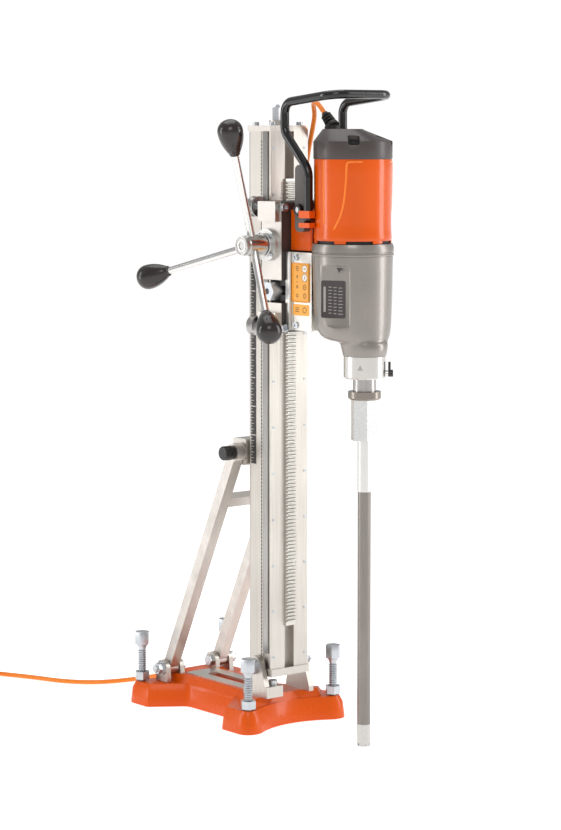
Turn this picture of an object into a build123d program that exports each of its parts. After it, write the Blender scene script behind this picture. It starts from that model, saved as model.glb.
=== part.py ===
"""Core drill rig: a tilting rack column on a cast base, a crank-fed carriage and an electric drill motor.

Millimetres, +Z up. The origin is on the ground under the middle of the base. The drill is on the -Y side,
the crank on the -X side. Everything is drawn at rest: column upright, bit on the ground.
"""

import os
from math import atan2, cos, degrees, pi, radians, sin, sqrt, tan

from build123d import *

# ---------------------------------------------------------------- driving dimensions
base_width = 232
base_length = 350
base_rim = 40  # height of the casting at its feet
base_deck = 52  # height of its raised middle
column_width = 83
column_depth = 60
column_bottom = 101
column_top = 1032
column_front = -146  # front face of the extrusion, behind the wear plates
rack_module = 2
pinion_teeth = 18
strut_section = 20
motor_y = -316
spindle_y = -347
bit_diameter = 23
cord_diameter = 8
running = 0.1  # radial clearance of turning and sliding fits
seat = 0.3  # gap between pieces of different bodies that only rest near each other

# ---------------------------------------------------------------- shared places
pivot_y = -117.5  # the column tilts about this line
pivot_z = 104
pivot_bolt_radius = 8
strut_foot_y = 122
strut_foot_z = 64
strut_bolt_radius = 6
column_back = column_front + column_depth
half_column = column_width / 2
clamp_y = column_back + 13  # the struts meet the clamp block here
clamp_z = 475
strut_inner = half_column + 4.5
foot_x = 95.5  # levelling screws
foot_y = 154.5
crank_z = 840
roller_y = -134
roller_upper_z = 904
roller_lower_z = 700
roller_x = half_column + 18.5
carriage_front = -206
carriage_back = -153

ON_END = (Align.CENTER, Align.CENTER, Align.MIN)
ALONG_X = (0, 90, 0)
ALONG_MINUS_X = (0, -90, 0)
ALONG_Y = (-90, 0, 0)
ALONG_MINUS_Y = (90, 0, 0)
SIDES = (-1, 1)

os.makedirs("parts", exist_ok=True)


def save(builder, name):
    """Label a finished sub-part and write its STEP file."""
    builder.part.label = name
    export_step(builder.part, f"parts/{name}.step")


def save_group(name, *builders):
    """Write like pieces of one body, each still a solid of its own, to one STEP file."""
    group = Compound([solid for builder in builders for solid in builder.part.solids()])
    group.label = name
    export_step(group, f"parts/{name}.step")


def span(x, y, z, mode=Mode.ADD):
    """A box between two corners, each axis given as (low, high)."""
    with Locations(((x[0] + x[1]) / 2, (y[0] + y[1]) / 2, (z[0] + z[1]) / 2)):
        Box(abs(x[1] - x[0]), abs(y[1] - y[0]), abs(z[1] - z[0]), mode=mode)


def rod(start, length, radius, rotation=(0, 0, 0), mode=Mode.ADD):
    """A round bar that grows from its start point, along +Z unless it is turned."""
    with Locations(start):
        Cylinder(radius, length, rotation=rotation, align=ON_END, mode=mode)


def cone(start, length, first_radius, last_radius, rotation=(0, 0, 0), mode=Mode.ADD):
    """A tapered bar that grows from its start point, along +Z unless it is turned."""
    with Locations(start):
        Cone(first_radius, last_radius, length, rotation=rotation, align=ON_END, mode=mode)


def hex_bar(across_flats, length):
    """A hexagonal bar standing on the ground plane."""
    with BuildPart() as bar:
        with BuildSketch(Plane.XY):
            RegularPolygon(across_flats / 2, 6, major_radius=False)
        extrude(amount=length)
    return bar.part


def socket_screw(head_radius, head_height, socket_radius, shank_radius, shank_length):
    """A socket screw whose head stands on the ground plane and whose shank hangs below it."""
    with BuildPart() as screw:
        rod((0, 0, 0), head_height, head_radius)
        rod((0, 0, -shank_length), shank_length, shank_radius)
        rod((0, 0, head_height / 2), head_height, socket_radius, mode=Mode.SUBTRACT)
    return screw.part


def involute_gear(teeth, module, width, bore_radius, tooth_share=0.47, turned=0.0, addendum=0.9):
    """A spur gear on the ground plane. Its first tooth points along +X, then it is turned by an angle."""
    pitch = teeth * module / 2
    tip = pitch + addendum * module
    root = pitch - 1.25 * module
    base = pitch * cos(radians(20))
    start = max(base, root)
    steps = 5

    def roll(radius):
        return sqrt(max((radius / base) ** 2 - 1, 0))

    def involute(radius):
        return roll(radius) - atan2(roll(radius), 1)

    half_pitch_angle = pi * tooth_share / teeth + involute(pitch)
    flank = [start + (tip - start) * i / steps for i in range(steps + 1)]
    points = []
    for tooth in range(teeth):
        middle = 2 * pi * tooth / teeth + turned
        right = [(r, middle - half_pitch_angle + involute(r)) for r in flank]
        left = [(r, middle + half_pitch_angle - involute(r)) for r in reversed(flank)]
        outline = [(root, right[0][1])] + right + left + [(root, left[-1][1])]
        if root >= start - 1e-6:
            outline = right + left
        points += [(r * cos(a), r * sin(a)) for r, a in outline]
    with BuildPart() as gear:
        with BuildSketch(Plane.XY):
            with BuildLine():
                Polyline(*points, close=True)
            make_face()
            Circle(bore_radius, mode=Mode.SUBTRACT)
        extrude(amount=width)
    return gear.part


# ================================================================ base
waist_half = 56
waist_front = -52
waist_back = 70
foot_start_front = -106
foot_start_back = 112
foot_corner = 28  # from a foot's corner to where its edge turns in
foot_rounds = (20, 20, 10, 14, 14, 10, 20, 20)
foot_inner = 76
front_dip = -148  # the front edge curves in as far as this
back_dip = 158
slot_width = 20
slot_front = -76
slot_back = 76
slot_plate_half = 33
slot_plate_front = -82
slot_plate_back = 108
slot_plate_thickness = 5
slot_plate_floor = base_deck - slot_plate_thickness + 1
screw_radius = 7.9
nut_height = 14
nut_flats = 24
seat_boss = 2
half_width = base_width / 2
half_length = base_length / 2
edge_round = 4

with BuildPart() as base_plate:
    with BuildSketch(Plane.XY):
        with BuildLine():
            front = ThreePointArc((-foot_inner, -half_length + 5), (0, front_dip), (foot_inner, -half_length + 5))
            side = FilletPolyline(
                front @ 1,
                (half_width - foot_corner, -half_length),
                (half_width, -half_length),
                (half_width, foot_start_front),
                (waist_half, waist_front),
                (waist_half, waist_back),
                (half_width, foot_start_back),
                (half_width, half_length),
                (half_width - foot_corner, half_length),
                (foot_inner, half_length - 5),
                radius=foot_rounds,
            )
            ThreePointArc(side @ 1, (0, back_dip), (-foot_inner, half_length - 5))
            mirror(side, about=Plane.YZ)
        make_face()
    extrude(amount=base_rim)
    fillet(base_plate.faces().sort_by(Axis.Z)[-1].edges(), edge_round)
    with BuildSketch(Plane.XY.offset(base_rim - 1)):
        with BuildLine():
            Polyline(
                (-64, front_dip + 10), (64, front_dip + 10), (84, -128), (50, -62), (50, 78),
                (34, 100), (34, back_dip - 14), (-34, back_dip - 14), (-34, 100), (-50, 78),
                (-50, -62), (-84, -128), close=True,
            )
        make_face()
    extrude(amount=base_deck - base_rim + 1)
    chamfer(base_plate.faces().sort_by(Axis.Z)[-1].edges(), edge_round)
    for side_x in SIDES:
        span(
            (side_x * (slot_plate_half + 4), side_x * (slot_plate_half + 10)),
            (waist_front, waist_back), (base_rim + 2, base_deck + 1), mode=Mode.SUBTRACT,
        )
    span(
        (-slot_plate_half, slot_plate_half), (slot_plate_front, slot_plate_back),
        (slot_plate_floor, base_deck + 1), mode=Mode.SUBTRACT,
    )
    with BuildSketch(Plane.XY):
        with Locations((0, (slot_front + slot_back) / 2)):
            SlotOverall(slot_back - slot_front, slot_width, rotation=90)
    extrude(amount=base_deck, mode=Mode.SUBTRACT)
    for x in (-foot_x, foot_x):
        for y in (-foot_y, foot_y):
            rod((x, y, base_rim - 1), seat_boss + 1, 16)
            rod((x, y, -1), base_deck, screw_radius + running, mode=Mode.SUBTRACT)
    # hollows under the casting, either side of the slot wall
    for side_x in SIDES:
        span((side_x * 20, side_x * 50), (waist_front, waist_back), (-1, base_rim - 8), mode=Mode.SUBTRACT)
    for end_y in SIDES:
        span((-60, 60), (end_y * 92, end_y * 132), (-1, base_rim - 8), mode=Mode.SUBTRACT)
save(base_plate, "base_plate")

with BuildPart() as anchor_slot_plate:
    span(
        (-slot_plate_half + seat, slot_plate_half - seat),
        (slot_plate_front + seat, slot_plate_back - seat),
        (slot_plate_floor, slot_plate_floor + slot_plate_thickness),
    )
    with BuildSketch(Plane.XY.offset(slot_plate_floor)):
        with Locations((0, (slot_front + slot_back) / 2)):
            SlotOverall(slot_back - slot_front, slot_width, rotation=90)
    extrude(amount=slot_plate_thickness, mode=Mode.SUBTRACT)
save(anchor_slot_plate, "anchor_slot_plate")

# ---------------------------------------------------------------- levelling screws and their lock nuts
nut_bottom = base_rim + seat_boss
screw_tip = 3
screw_head_bottom = 106
screw_head_height = 23
screw_neck = 8

with BuildPart() as levelling_nuts:
    for x in (-foot_x, foot_x):
        for y in (-foot_y, foot_y):
            with Locations((x, y, nut_bottom)):
                add(hex_bar(nut_flats, nut_height))
            rod((x, y, nut_bottom - 1), nut_height + 2, screw_radius + running, mode=Mode.SUBTRACT)

for name, x, y in (
    ("levelling_screw_front_left", -foot_x, -foot_y),
    ("levelling_screw_front_right", foot_x, -foot_y),
    ("levelling_screw_rear_left", -foot_x, foot_y),
    ("levelling_screw_rear_right", foot_x, foot_y),
):
    with BuildPart() as levelling_screw:
        cone((x, y, screw_tip), 4, screw_radius - 3, screw_radius)
        rod((x, y, screw_tip + 4), screw_head_bottom - screw_neck - screw_tip - 4, screw_radius)
        cone((x, y, screw_head_bottom - screw_neck), screw_neck, screw_radius, nut_flats / 2 - 1)
        with Locations((x, y, screw_head_bottom)):
            add(hex_bar(nut_flats, screw_head_height))
    save(levelling_screw, name)

# ---------------------------------------------------------------- lugs that carry the column
lug_inner = half_column + 1.5
lug_outer = lug_inner + 10
lug_round = 18
lug_block_height = 19.5
lug_block_front = -153
lug_block_depth = 32
lug_block_width = 36
lug_flange = 24
lug_screw_radius = 5

with BuildPart() as column_brackets:
    for side_x in SIDES:
        with BuildSketch(Plane.YZ.offset(side_x * lug_inner)):
            with Locations((pivot_y, pivot_z)):
                Circle(lug_round)
            with Locations((pivot_y - 2, base_deck + 4)):
                Rectangle(2 * lug_block_depth, 8)
            make_hull()
            with Locations((pivot_y, pivot_z)):
                Circle(pivot_bolt_radius + running, mode=Mode.SUBTRACT)
        extrude(amount=side_x * (lug_outer - lug_inner))
    span(
        (-lug_outer, -lug_outer + lug_block_width), (lug_block_front, lug_block_front + lug_block_depth),
        (base_deck, base_deck + lug_block_height),
    )
    for x, y in ((-lug_outer + lug_block_width - 10, lug_block_front + lug_block_depth / 2),):
        rod((x, y, base_deck), lug_block_height, lug_screw_radius + running, mode=Mode.SUBTRACT)

with BuildPart() as column_pivot_bolts:
    for side_x in SIDES:
        turned = ALONG_X if side_x > 0 else ALONG_MINUS_X
        rod((side_x * 22, pivot_y, pivot_z), lug_outer - 22, pivot_bolt_radius, turned)
        rod((side_x * lug_outer, pivot_y, pivot_z), 2.5, 14, turned)
        head = hex_bar(24, 9)
        with Locations(Plane((side_x * (lug_outer + 2.5), pivot_y, pivot_z), x_dir=(0, 1, 0), z_dir=(side_x, 0, 0))):
            add(head)

# ---------------------------------------------------------------- lugs at the foot of the struts
strut_outer = strut_inner + strut_section
strut_lug_gap = 1
strut_lug_thickness = 9
strut_lug_round = 15
strut_lug_half = 17

with BuildPart() as strut_brackets:
    for side_x in SIDES:
        for inner in (strut_outer + strut_lug_gap, strut_inner - strut_lug_gap - strut_lug_thickness):
            with BuildSketch(Plane.YZ.offset(side_x * inner)):
                with Locations((strut_foot_y, strut_foot_z)):
                    Circle(strut_lug_round)
                with Locations((strut_foot_y, base_rim + 2)):
                    Rectangle(2 * strut_lug_half, 4)
                make_hull()
                with Locations((strut_foot_y, strut_foot_z)):
                    Circle(strut_bolt_radius + running, mode=Mode.SUBTRACT)
            extrude(amount=side_x * strut_lug_thickness)

with BuildPart() as strut_pivot_bolts:
    bolt_inner = strut_inner - strut_lug_gap - strut_lug_thickness
    bolt_outer = strut_outer + strut_lug_gap + strut_lug_thickness
    for side_x in SIDES:
        turned = ALONG_X if side_x > 0 else ALONG_MINUS_X
        rod((side_x * bolt_inner, strut_foot_y, strut_foot_z), bolt_outer - bolt_inner + 16, strut_bolt_radius, turned)
        rod((side_x * bolt_outer, strut_foot_y, strut_foot_z), 2.5, 12, turned)
        head_plane = Plane((side_x * bolt_inner, strut_foot_y, strut_foot_z), x_dir=(0, 1, 0), z_dir=(-side_x, 0, 0))
        nut_plane = Plane(
            (side_x * (bolt_outer + 2.5), strut_foot_y, strut_foot_z), x_dir=(0, 1, 0), z_dir=(side_x, 0, 0)
        )
        with Locations(head_plane):
            add(hex_bar(18, 7))
        with Locations(nut_plane):
            add(hex_bar(18, 9))

with BuildPart() as bracket_screws:
    with Locations((-lug_outer + lug_block_width - 10, lug_block_front + lug_block_depth / 2,
                    base_deck + lug_block_height)):
        add(socket_screw(8, 8, 4, lug_screw_radius, lug_block_height - 1))
save_group("base_fasteners", levelling_nuts, column_pivot_bolts, strut_pivot_bolts, bracket_screws)
save_group("base_lugs", column_brackets, strut_brackets)

# ================================================================ column
groove_half = 10.2  # the rack lies in this groove
groove_floor = column_front + 9
cell_half = half_column - 7.5
cell_front = groove_floor + 4
cell_back = column_back - 18
t_slot_half = 6
t_slot_lip = 6
t_head_half = 12
t_head_depth = 8
guide_front = roller_y - 7
guide_back = roller_y + 7
guide_step = 3
guide_apex = 4.5  # how far the vee stands out from the column's side
guide_bottom = pivot_z + 24  # above the sweep of the lugs
wear_plate = 3
dash_y = -124
dash_depth = 2
back_round = 8

with BuildPart() as column_profile:
    with BuildSketch(Plane.XY.offset(column_bottom)):
        with Locations((0, (column_front + column_back) / 2)):
            outline = Rectangle(column_width, column_depth)
        fillet(outline.vertices().group_by(Axis.Y)[-1], back_round)
        with Locations((0, (cell_front + cell_back) / 2)):
            Rectangle(2 * cell_half, cell_back - cell_front, mode=Mode.SUBTRACT)
        with Locations((0, (column_front + groove_floor) / 2)):
            Rectangle(2 * groove_half, groove_floor - column_front, mode=Mode.SUBTRACT)
        with Locations((0, column_back - t_slot_lip / 2)):
            Rectangle(2 * t_slot_half, t_slot_lip, mode=Mode.SUBTRACT)
        with Locations((0, column_back - t_slot_lip - t_head_depth / 2)):
            Rectangle(2 * t_head_half, t_head_depth, mode=Mode.SUBTRACT)
        for side_x in SIDES:
            with Locations((side_x * (half_column - guide_step / 2), (column_front + guide_back) / 2)):
                Rectangle(guide_step, guide_back - column_front, mode=Mode.SUBTRACT)
            with Locations((side_x * half_column, dash_y)):
                Rectangle(2 * dash_depth, 1.5, mode=Mode.SUBTRACT)
    extrude(amount=column_top - column_bottom)
    rod((-half_column - 1, pivot_y, pivot_z), column_width + 2, pivot_bolt_radius + running, ALONG_X,
        mode=Mode.SUBTRACT)
save(column_profile, "column_profile")

with BuildPart() as column_guides:
    for side_x in SIDES:
        inner_x = side_x * (half_column - guide_step)
        outer_x = side_x * half_column
        with BuildSketch(Plane.XY.offset(guide_bottom)):
            with BuildLine():
                Polyline(
                    (inner_x, guide_front), (outer_x, guide_front),
                    (side_x * (half_column + guide_apex), roller_y),
                    (outer_x, guide_back), (inner_x, guide_back), close=True,
                )
            make_face()
        extrude(amount=column_top - guide_bottom)
save(column_guides, "column_guides")

with BuildPart() as column_wear_plates:
    for side_x in SIDES:
        span(
            (side_x * groove_half, side_x * half_column), (column_front - wear_plate, column_front),
            (column_bottom, column_top),
        )
save(column_wear_plates, "column_wear_plates")

face_screw_x = half_column - 7
face_screw_count = 12
face_screw_first = 122
face_screw_last = 1004
face_screw_radius = 2.6
column_face = column_front - wear_plate

with BuildPart() as face_screws:
    pitch = (face_screw_last - face_screw_first) / (face_screw_count - 1)
    for side_x in SIDES:
        for i in range(face_screw_count):
            place = (side_x * face_screw_x, column_face, face_screw_first + i * pitch)
            rod(place, 0.8, face_screw_radius, ALONG_MINUS_Y)
            rod((place[0], column_face - 1, place[2]), 1, 1.2, ALONG_Y, mode=Mode.SUBTRACT)

rack_bottom = 175
rack_top = 951
rack_half = 10
pinion_pitch_radius = rack_module * pinion_teeth / 2
rack_pitch_y = column_front - 9
rack_tip_y = rack_pitch_y - rack_module
rack_root_y = rack_pitch_y + 1.25 * rack_module
tooth_pitch = pi * rack_module
crank_y = rack_pitch_y - pinion_pitch_radius
rack_tooth_share = 0.47  # tooth thickness on the pitch line over the tooth pitch
rack_slope = tan(radians(20))

with BuildPart() as rack:
    half_pitch_line = rack_tooth_share * tooth_pitch / 2
    half_tip = half_pitch_line - rack_module * rack_slope
    half_root = half_pitch_line + 1.25 * rack_module * rack_slope
    # a gap between two teeth is level with the crank, where a pinion tooth enters
    first = int((rack_bottom + half_root - crank_z) / tooth_pitch - 0.5)
    last = int((rack_top - half_root - crank_z) / tooth_pitch - 0.5)
    outline = [(groove_floor, rack_bottom), (rack_root_y, rack_bottom)]
    for i in range(first, last + 1):
        middle = crank_z + (i + 0.5) * tooth_pitch
        outline += [
            (rack_root_y, middle - half_root), (rack_tip_y, middle - half_tip),
            (rack_tip_y, middle + half_tip), (rack_root_y, middle + half_root),
        ]
    outline += [(rack_root_y, rack_top), (groove_floor, rack_top)]
    with BuildSketch(Plane.YZ.offset(-rack_half)):
        with BuildLine():
            Polyline(*outline, close=True)
        make_face()
    extrude(amount=2 * rack_half)
save(rack, "rack")

top_plate = 10
foot_plate = 13
plug_height = 34
end_screw_x = half_column - 11.5
end_screw_inset = 9

with BuildPart() as column_top_plate:
    span((-half_column, half_column), (column_face, column_back), (column_top, column_top + top_plate))
    rod((0, pivot_y, column_top + top_plate), 9, 15)
    rod((0, pivot_y, column_top - 1), top_plate + 12, 7 + running, mode=Mode.SUBTRACT)
    for x in (-end_screw_x, end_screw_x):
        for y in (column_face + end_screw_inset, column_back - end_screw_inset):
            rod((x, y, column_top - 1), top_plate + 2, 3 + running, mode=Mode.SUBTRACT)
save(column_top_plate, "column_top_plate")

with BuildPart() as end_plate_screws:
    for x in (-end_screw_x, end_screw_x):
        for y in (column_face + end_screw_inset, column_back - end_screw_inset):
            with Locations((x, y, column_top + top_plate)):
                add(socket_screw(5.5, 6, 2.5, 3, top_plate - 0.5))

with BuildPart() as column_foot:
    span((-half_column, half_column), (column_face - 3, column_back), (column_bottom - foot_plate, column_bottom))
    span(
        (-cell_half + seat, cell_half - seat), (cell_front + seat, cell_back - seat),
        (column_bottom - 1, column_bottom + plug_height),
    )
    rod((-half_column - 1, pivot_y, pivot_z), column_width + 2, pivot_bolt_radius + running, ALONG_X,
        mode=Mode.SUBTRACT)
save(column_foot, "column_foot")
save_group("column_screws", face_screws, end_plate_screws)

with BuildPart() as jack_spindle:
    rod((0, pivot_y, column_top - 90), 90 + top_plate + 9, 7)
    with Locations((0, pivot_y, column_top + top_plate + 9)):
        add(hex_bar(17, 22))
    cone((0, pivot_y, column_top + top_plate + 31), 5, 5, 2)
save(jack_spindle, "jack_spindle")

tape_bottom = 457
tape_top = 807
tape_front = -109
tape_back = -96

with BuildPart() as ruler_tape:
    span((-half_column - 0.6, -half_column), (tape_front, tape_back), (tape_bottom, tape_top))
save(ruler_tape, "ruler_tape")

# ================================================================ rear struts and clamp
strut_length = sqrt((clamp_y - strut_foot_y) ** 2 + (clamp_z - strut_foot_z) ** 2)
strut_lean = degrees(atan2(strut_foot_y - clamp_y, clamp_z - strut_foot_z))
strut_wall = 2.5
strut_eye = 12
cross_tube_share = 0.78  # how far up the struts the cross tube is

with BuildPart() as struts:
    for side_x in SIDES:
        middle = (
            side_x * (strut_inner + strut_section / 2),
            (clamp_y + strut_foot_y) / 2, (clamp_z + strut_foot_z) / 2,
        )
        with Locations(middle):
            Box(strut_section, strut_section, strut_length, rotation=(strut_lean, 0, 0))
        for y, z, radius in ((strut_foot_y, strut_foot_z, strut_eye), (clamp_y, clamp_z, strut_eye + 4)):
            start = side_x * strut_inner if side_x > 0 else -strut_outer
            rod((start, y, z), strut_section, radius, ALONG_X)
            rod((start - 1, y, z), strut_section + 2, strut_bolt_radius + running, ALONG_X, mode=Mode.SUBTRACT)
        with Locations(middle):
            Box(
                strut_section - 2 * strut_wall, strut_section - 2 * strut_wall, strut_length - 70,
                rotation=(strut_lean, 0, 0), mode=Mode.SUBTRACT,
            )

cross_y = strut_foot_y + (clamp_y - strut_foot_y) * cross_tube_share
cross_z = strut_foot_z + (clamp_z - strut_foot_z) * cross_tube_share

with BuildPart() as strut_cross_tube:
    with Locations((0, cross_y, cross_z)):
        Box(2 * strut_inner, strut_section - 2, strut_section - 2, rotation=(strut_lean, 0, 0))
        Box(
            2 * strut_inner, strut_section - 2 - 2 * strut_wall, strut_section - 2 - 2 * strut_wall,
            rotation=(strut_lean, 0, 0), mode=Mode.SUBTRACT,
        )

save_group("strut_frame", struts, strut_cross_tube)

clamp_half = half_column + 3.5
clamp_back = column_back + 37
clamp_low = 452
clamp_high = 498
clamp_front = column_back + seat

with BuildPart() as clamp_block:
    span((-clamp_half, clamp_half), (clamp_front, clamp_back), (clamp_low, clamp_high))
    fillet(clamp_block.edges().filter_by(Axis.X), 4)
    rod((-clamp_half - 1, clamp_y, clamp_z), 2 * clamp_half + 2, strut_bolt_radius + running, ALONG_X,
        mode=Mode.SUBTRACT)
save(clamp_block, "clamp_block")

knob_start = strut_outer + 3
knob_length = 19

with BuildPart() as clamp_bolt:
    rod((-knob_start - 12, clamp_y, clamp_z), knob_start + 12 + strut_outer + 9, strut_bolt_radius, ALONG_X)
    rod((strut_outer + seat, clamp_y, clamp_z), 2, 11, ALONG_X)
    nut_plane = Plane((strut_outer + seat + 2, clamp_y, clamp_z), x_dir=(0, 1, 0), z_dir=(1, 0, 0))
    with Locations(nut_plane):
        add(hex_bar(18, 9))
save(clamp_bolt, "clamp_bolt")

with BuildPart() as clamp_knob:
    rod((-knob_start, clamp_y, clamp_z), knob_length, 12.5, ALONG_MINUS_X)
    rod((-knob_start + 2.5, clamp_y, clamp_z), 2.5, 9, ALONG_MINUS_X)
    fillet(clamp_knob.edges().group_by(Axis.X)[0], 3)
    for i in range(6):
        angle = radians(60 * i)
        place = (-knob_start - knob_length + 14, clamp_y + 15 * cos(angle), clamp_z + 15 * sin(angle))
        rod(place, knob_length, 4, ALONG_MINUS_X, mode=Mode.SUBTRACT)
    rod((-knob_start + 3, clamp_y, clamp_z), 3 + 13, strut_bolt_radius + running, ALONG_MINUS_X,
        mode=Mode.SUBTRACT)
save(clamp_knob, "clamp_knob")

with BuildPart() as clamp_slider:
    span(
        (-t_head_half + seat, t_head_half - seat),
        (column_back - t_slot_lip - t_head_depth + seat, column_back - t_slot_lip - seat),
        (clamp_low + 4, clamp_high - 4),
    )
    span(
        (-t_slot_half + seat, t_slot_half - seat),
        (column_back - t_slot_lip - 1, column_back - seat), (clamp_low + 4, clamp_high - 4),
    )
save(clamp_slider, "clamp_slider")

# ================================================================ carriage
body_half = roller_x + 4
body_low = 692
body_high = 914
ear_half = roller_x + 15
ear_front = -203
ear_back = -156
ear_height = 34
axle_radius = 5
axle_head = 7
roller_radius = 17.5
roller_half_width = 8
bush_radius = 16
bush_length = 14
shaft_radius = 10
chamber_half = 11.5
pinion_tip = pinion_pitch_radius + rack_module
clamp_slot_low = 742
clamp_slot_high = 781
clamp_slot_depth = 36
clamp_screw_z = 762
clamp_screw_y = -185

with BuildPart() as carriage_body:
    span((-body_half, body_half), (carriage_front, carriage_back), (body_low, body_high))
    chamfer(carriage_body.edges().filter_by(Axis.X).group_by(Axis.Y)[0], 3)
    for side_x in SIDES:
        for low in (body_low, body_high - ear_height):
            span((side_x * (body_half - 1), side_x * ear_half), (ear_front, ear_back), (low, low + ear_height))
    # channel that the rack runs through, and the pinion's chamber
    span((-chamber_half, chamber_half), (rack_tip_y - 2, carriage_back + 1), (body_low - 1, body_high + 1),
         mode=Mode.SUBTRACT)
    span((-chamber_half, chamber_half), (crank_y - pinion_tip - 2, carriage_back + 1),
         (crank_z - pinion_tip - 2, crank_z + pinion_tip + 2), mode=Mode.SUBTRACT)
    rod((-body_half - 1, crank_y, crank_z), 2 * body_half + 2, shaft_radius + 1, ALONG_X, mode=Mode.SUBTRACT)
    for side_x in SIDES:
        turned = ALONG_MINUS_X if side_x > 0 else ALONG_X
        rod((side_x * (body_half + 1), crank_y, crank_z), bush_length + 1, bush_radius + running, turned,
            mode=Mode.SUBTRACT)
    span((-body_half - 1, -body_half + clamp_slot_depth), (carriage_front - 1, carriage_back + 1),
         (clamp_slot_low, clamp_slot_high), mode=Mode.SUBTRACT)
    rod((-body_half + clamp_slot_depth - 1, clamp_screw_y, clamp_screw_z), 30, 8 + running, ALONG_X,
        mode=Mode.SUBTRACT)
    for x in (-roller_x, roller_x):
        for z in (roller_lower_z, roller_upper_z):
            rod((x, carriage_front - 1, z), carriage_back - carriage_front + 2, axle_radius + running, ALONG_Y,
                mode=Mode.SUBTRACT)
save(carriage_body, "carriage_body")

with BuildPart() as roller_axles:
    for x in (-roller_x, roller_x):
        for z in (roller_lower_z, roller_upper_z):
            rod((x, carriage_front, z), roller_y + roller_half_width + 4 - carriage_front, axle_radius, ALONG_Y)
            with Locations(Plane((x, carriage_front, z), x_dir=(1, 0, 0), z_dir=(0, -1, 0))):
                add(socket_screw(axle_head, 7, 4, axle_radius, 1))
            rod((x, carriage_back, z), roller_y - roller_half_width - seat - carriage_back, 8, ALONG_Y)
            rod((x, roller_y + roller_half_width + seat, z), 4 - seat, 8, ALONG_Y)
save(roller_axles, "roller_axles")

vee_radius = roller_x - half_column - guide_apex - running
vee_half = (roller_radius - vee_radius) * 7 / guide_apex

for name, x, z in (
    ("guide_roller_upper_left", -roller_x, roller_upper_z),
    ("guide_roller_upper_right", roller_x, roller_upper_z),
    ("guide_roller_lower_left", -roller_x, roller_lower_z),
    ("guide_roller_lower_right", roller_x, roller_lower_z),
):
    with BuildPart() as guide_roller:
        with BuildSketch(Plane((x, roller_y, z), x_dir=(1, 0, 0), z_dir=(0, 0, 1))):
            with BuildLine():
                Polyline(
                    (axle_radius + running, -roller_half_width), (roller_radius, -roller_half_width),
                    (roller_radius, -vee_half), (vee_radius, 0), (roller_radius, vee_half),
                    (roller_radius, roller_half_width), (axle_radius + running, roller_half_width), close=True,
                )
            make_face()
        revolve(axis=Axis((x, roller_y, z), (0, 1, 0)))
    save(guide_roller, name)

# ---------------------------------------------------------------- crank
flange_radius = 27.5
flange_thickness = 8
flange_boss = 6
flange_screw_circle = 23.8
hub_start = -body_half - 16
hub_length = 43
hub_radius = 18
shaft_end = body_half + 37
spoke_count = 3
spoke_lean = 90  # how far a knob's end stands out from the hub's middle
spoke_reach = 215
spoke_first = 12.5  # degrees from upright, towards the drill
spoke_radius = 6
spoke_root_radius = 7
knob_length_crank = 62
knob_radius = 21.5

with BuildPart() as bearing_flange:
    rod((-body_half, crank_y, crank_z), flange_thickness, flange_radius, ALONG_MINUS_X)
    rod((-body_half - flange_thickness, crank_y, crank_z), flange_boss, 20, ALONG_MINUS_X)
    chamfer(bearing_flange.edges().group_by(Axis.X)[0], 1)
    rod((-body_half + 1, crank_y, crank_z), flange_thickness + flange_boss + 2, shaft_radius + running,
        ALONG_MINUS_X, mode=Mode.SUBTRACT)
    for i in range(4):
        angle = radians(45 + 90 * i)
        place = (
            -body_half + 1, crank_y + flange_screw_circle * cos(angle), crank_z + flange_screw_circle * sin(angle)
        )
        rod(place, flange_thickness + 2, 2 + running, ALONG_MINUS_X, mode=Mode.SUBTRACT)
save(bearing_flange, "bearing_flange")

with BuildPart() as flange_screws:
    for i in range(4):
        angle = radians(45 + 90 * i)
        place = Plane(
            (-body_half - flange_thickness, crank_y + flange_screw_circle * cos(angle),
             crank_z + flange_screw_circle * sin(angle)), x_dir=(0, 1, 0), z_dir=(-1, 0, 0),
        )
        with Locations(place):
            add(socket_screw(3.2, 2.5, 1.5, 2, flange_thickness - 1))

with BuildPart() as pinion_shaft:
    gear_plane = Plane((-rack_half + 1, crank_y, crank_z), x_dir=(0, 1, 0), z_dir=(1, 0, 0))
    with Locations(gear_plane):
        add(involute_gear(pinion_teeth, rack_module, 2 * rack_half - 2, shaft_radius - 1))
    rod((-shaft_end, crank_y, crank_z), shaft_end + body_half - 2, shaft_radius, ALONG_X)
save(pinion_shaft, "pinion_shaft")

with BuildPart() as crank_bushes:
    for side_x in SIDES:
        turned = ALONG_MINUS_X if side_x > 0 else ALONG_X
        rod((side_x * body_half, crank_y, crank_z), bush_length, bush_radius, turned)
        rod((side_x * (body_half + 1), crank_y, crank_z), bush_length + 2, shaft_radius + running, turned,
            mode=Mode.SUBTRACT)

spoke_lean_angle = atan2(spoke_lean, spoke_reach)
spoke_length = sqrt(spoke_lean**2 + spoke_reach**2)
hub_middle = hub_start - hub_length / 2 + 3
spoke_planes = []
for i in range(spoke_count):
    around = radians(spoke_first - 360 / spoke_count * i)
    direction = (
        -sin(spoke_lean_angle), -cos(spoke_lean_angle) * sin(around), cos(spoke_lean_angle) * cos(around)
    )
    spoke_planes.append(Plane((hub_middle, crank_y, crank_z), z_dir=direction))

with BuildPart() as crank_arms:
    rod((hub_start, crank_y, crank_z), hub_length - 8, hub_radius, ALONG_MINUS_X)
    rod((hub_start - hub_length + 8, crank_y, crank_z), 8, hub_radius - 2, ALONG_MINUS_X)
    for spoke_plane in spoke_planes:
        with Locations(spoke_plane):
            Cone(spoke_root_radius, spoke_radius, spoke_length - knob_length_crank + 8, align=ON_END)
    rod((hub_start + 1, crank_y, crank_z), shaft_end + hub_start + 1.5, shaft_radius + running, ALONG_MINUS_X,
        mode=Mode.SUBTRACT)
save(crank_arms, "crank_arms")

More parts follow.
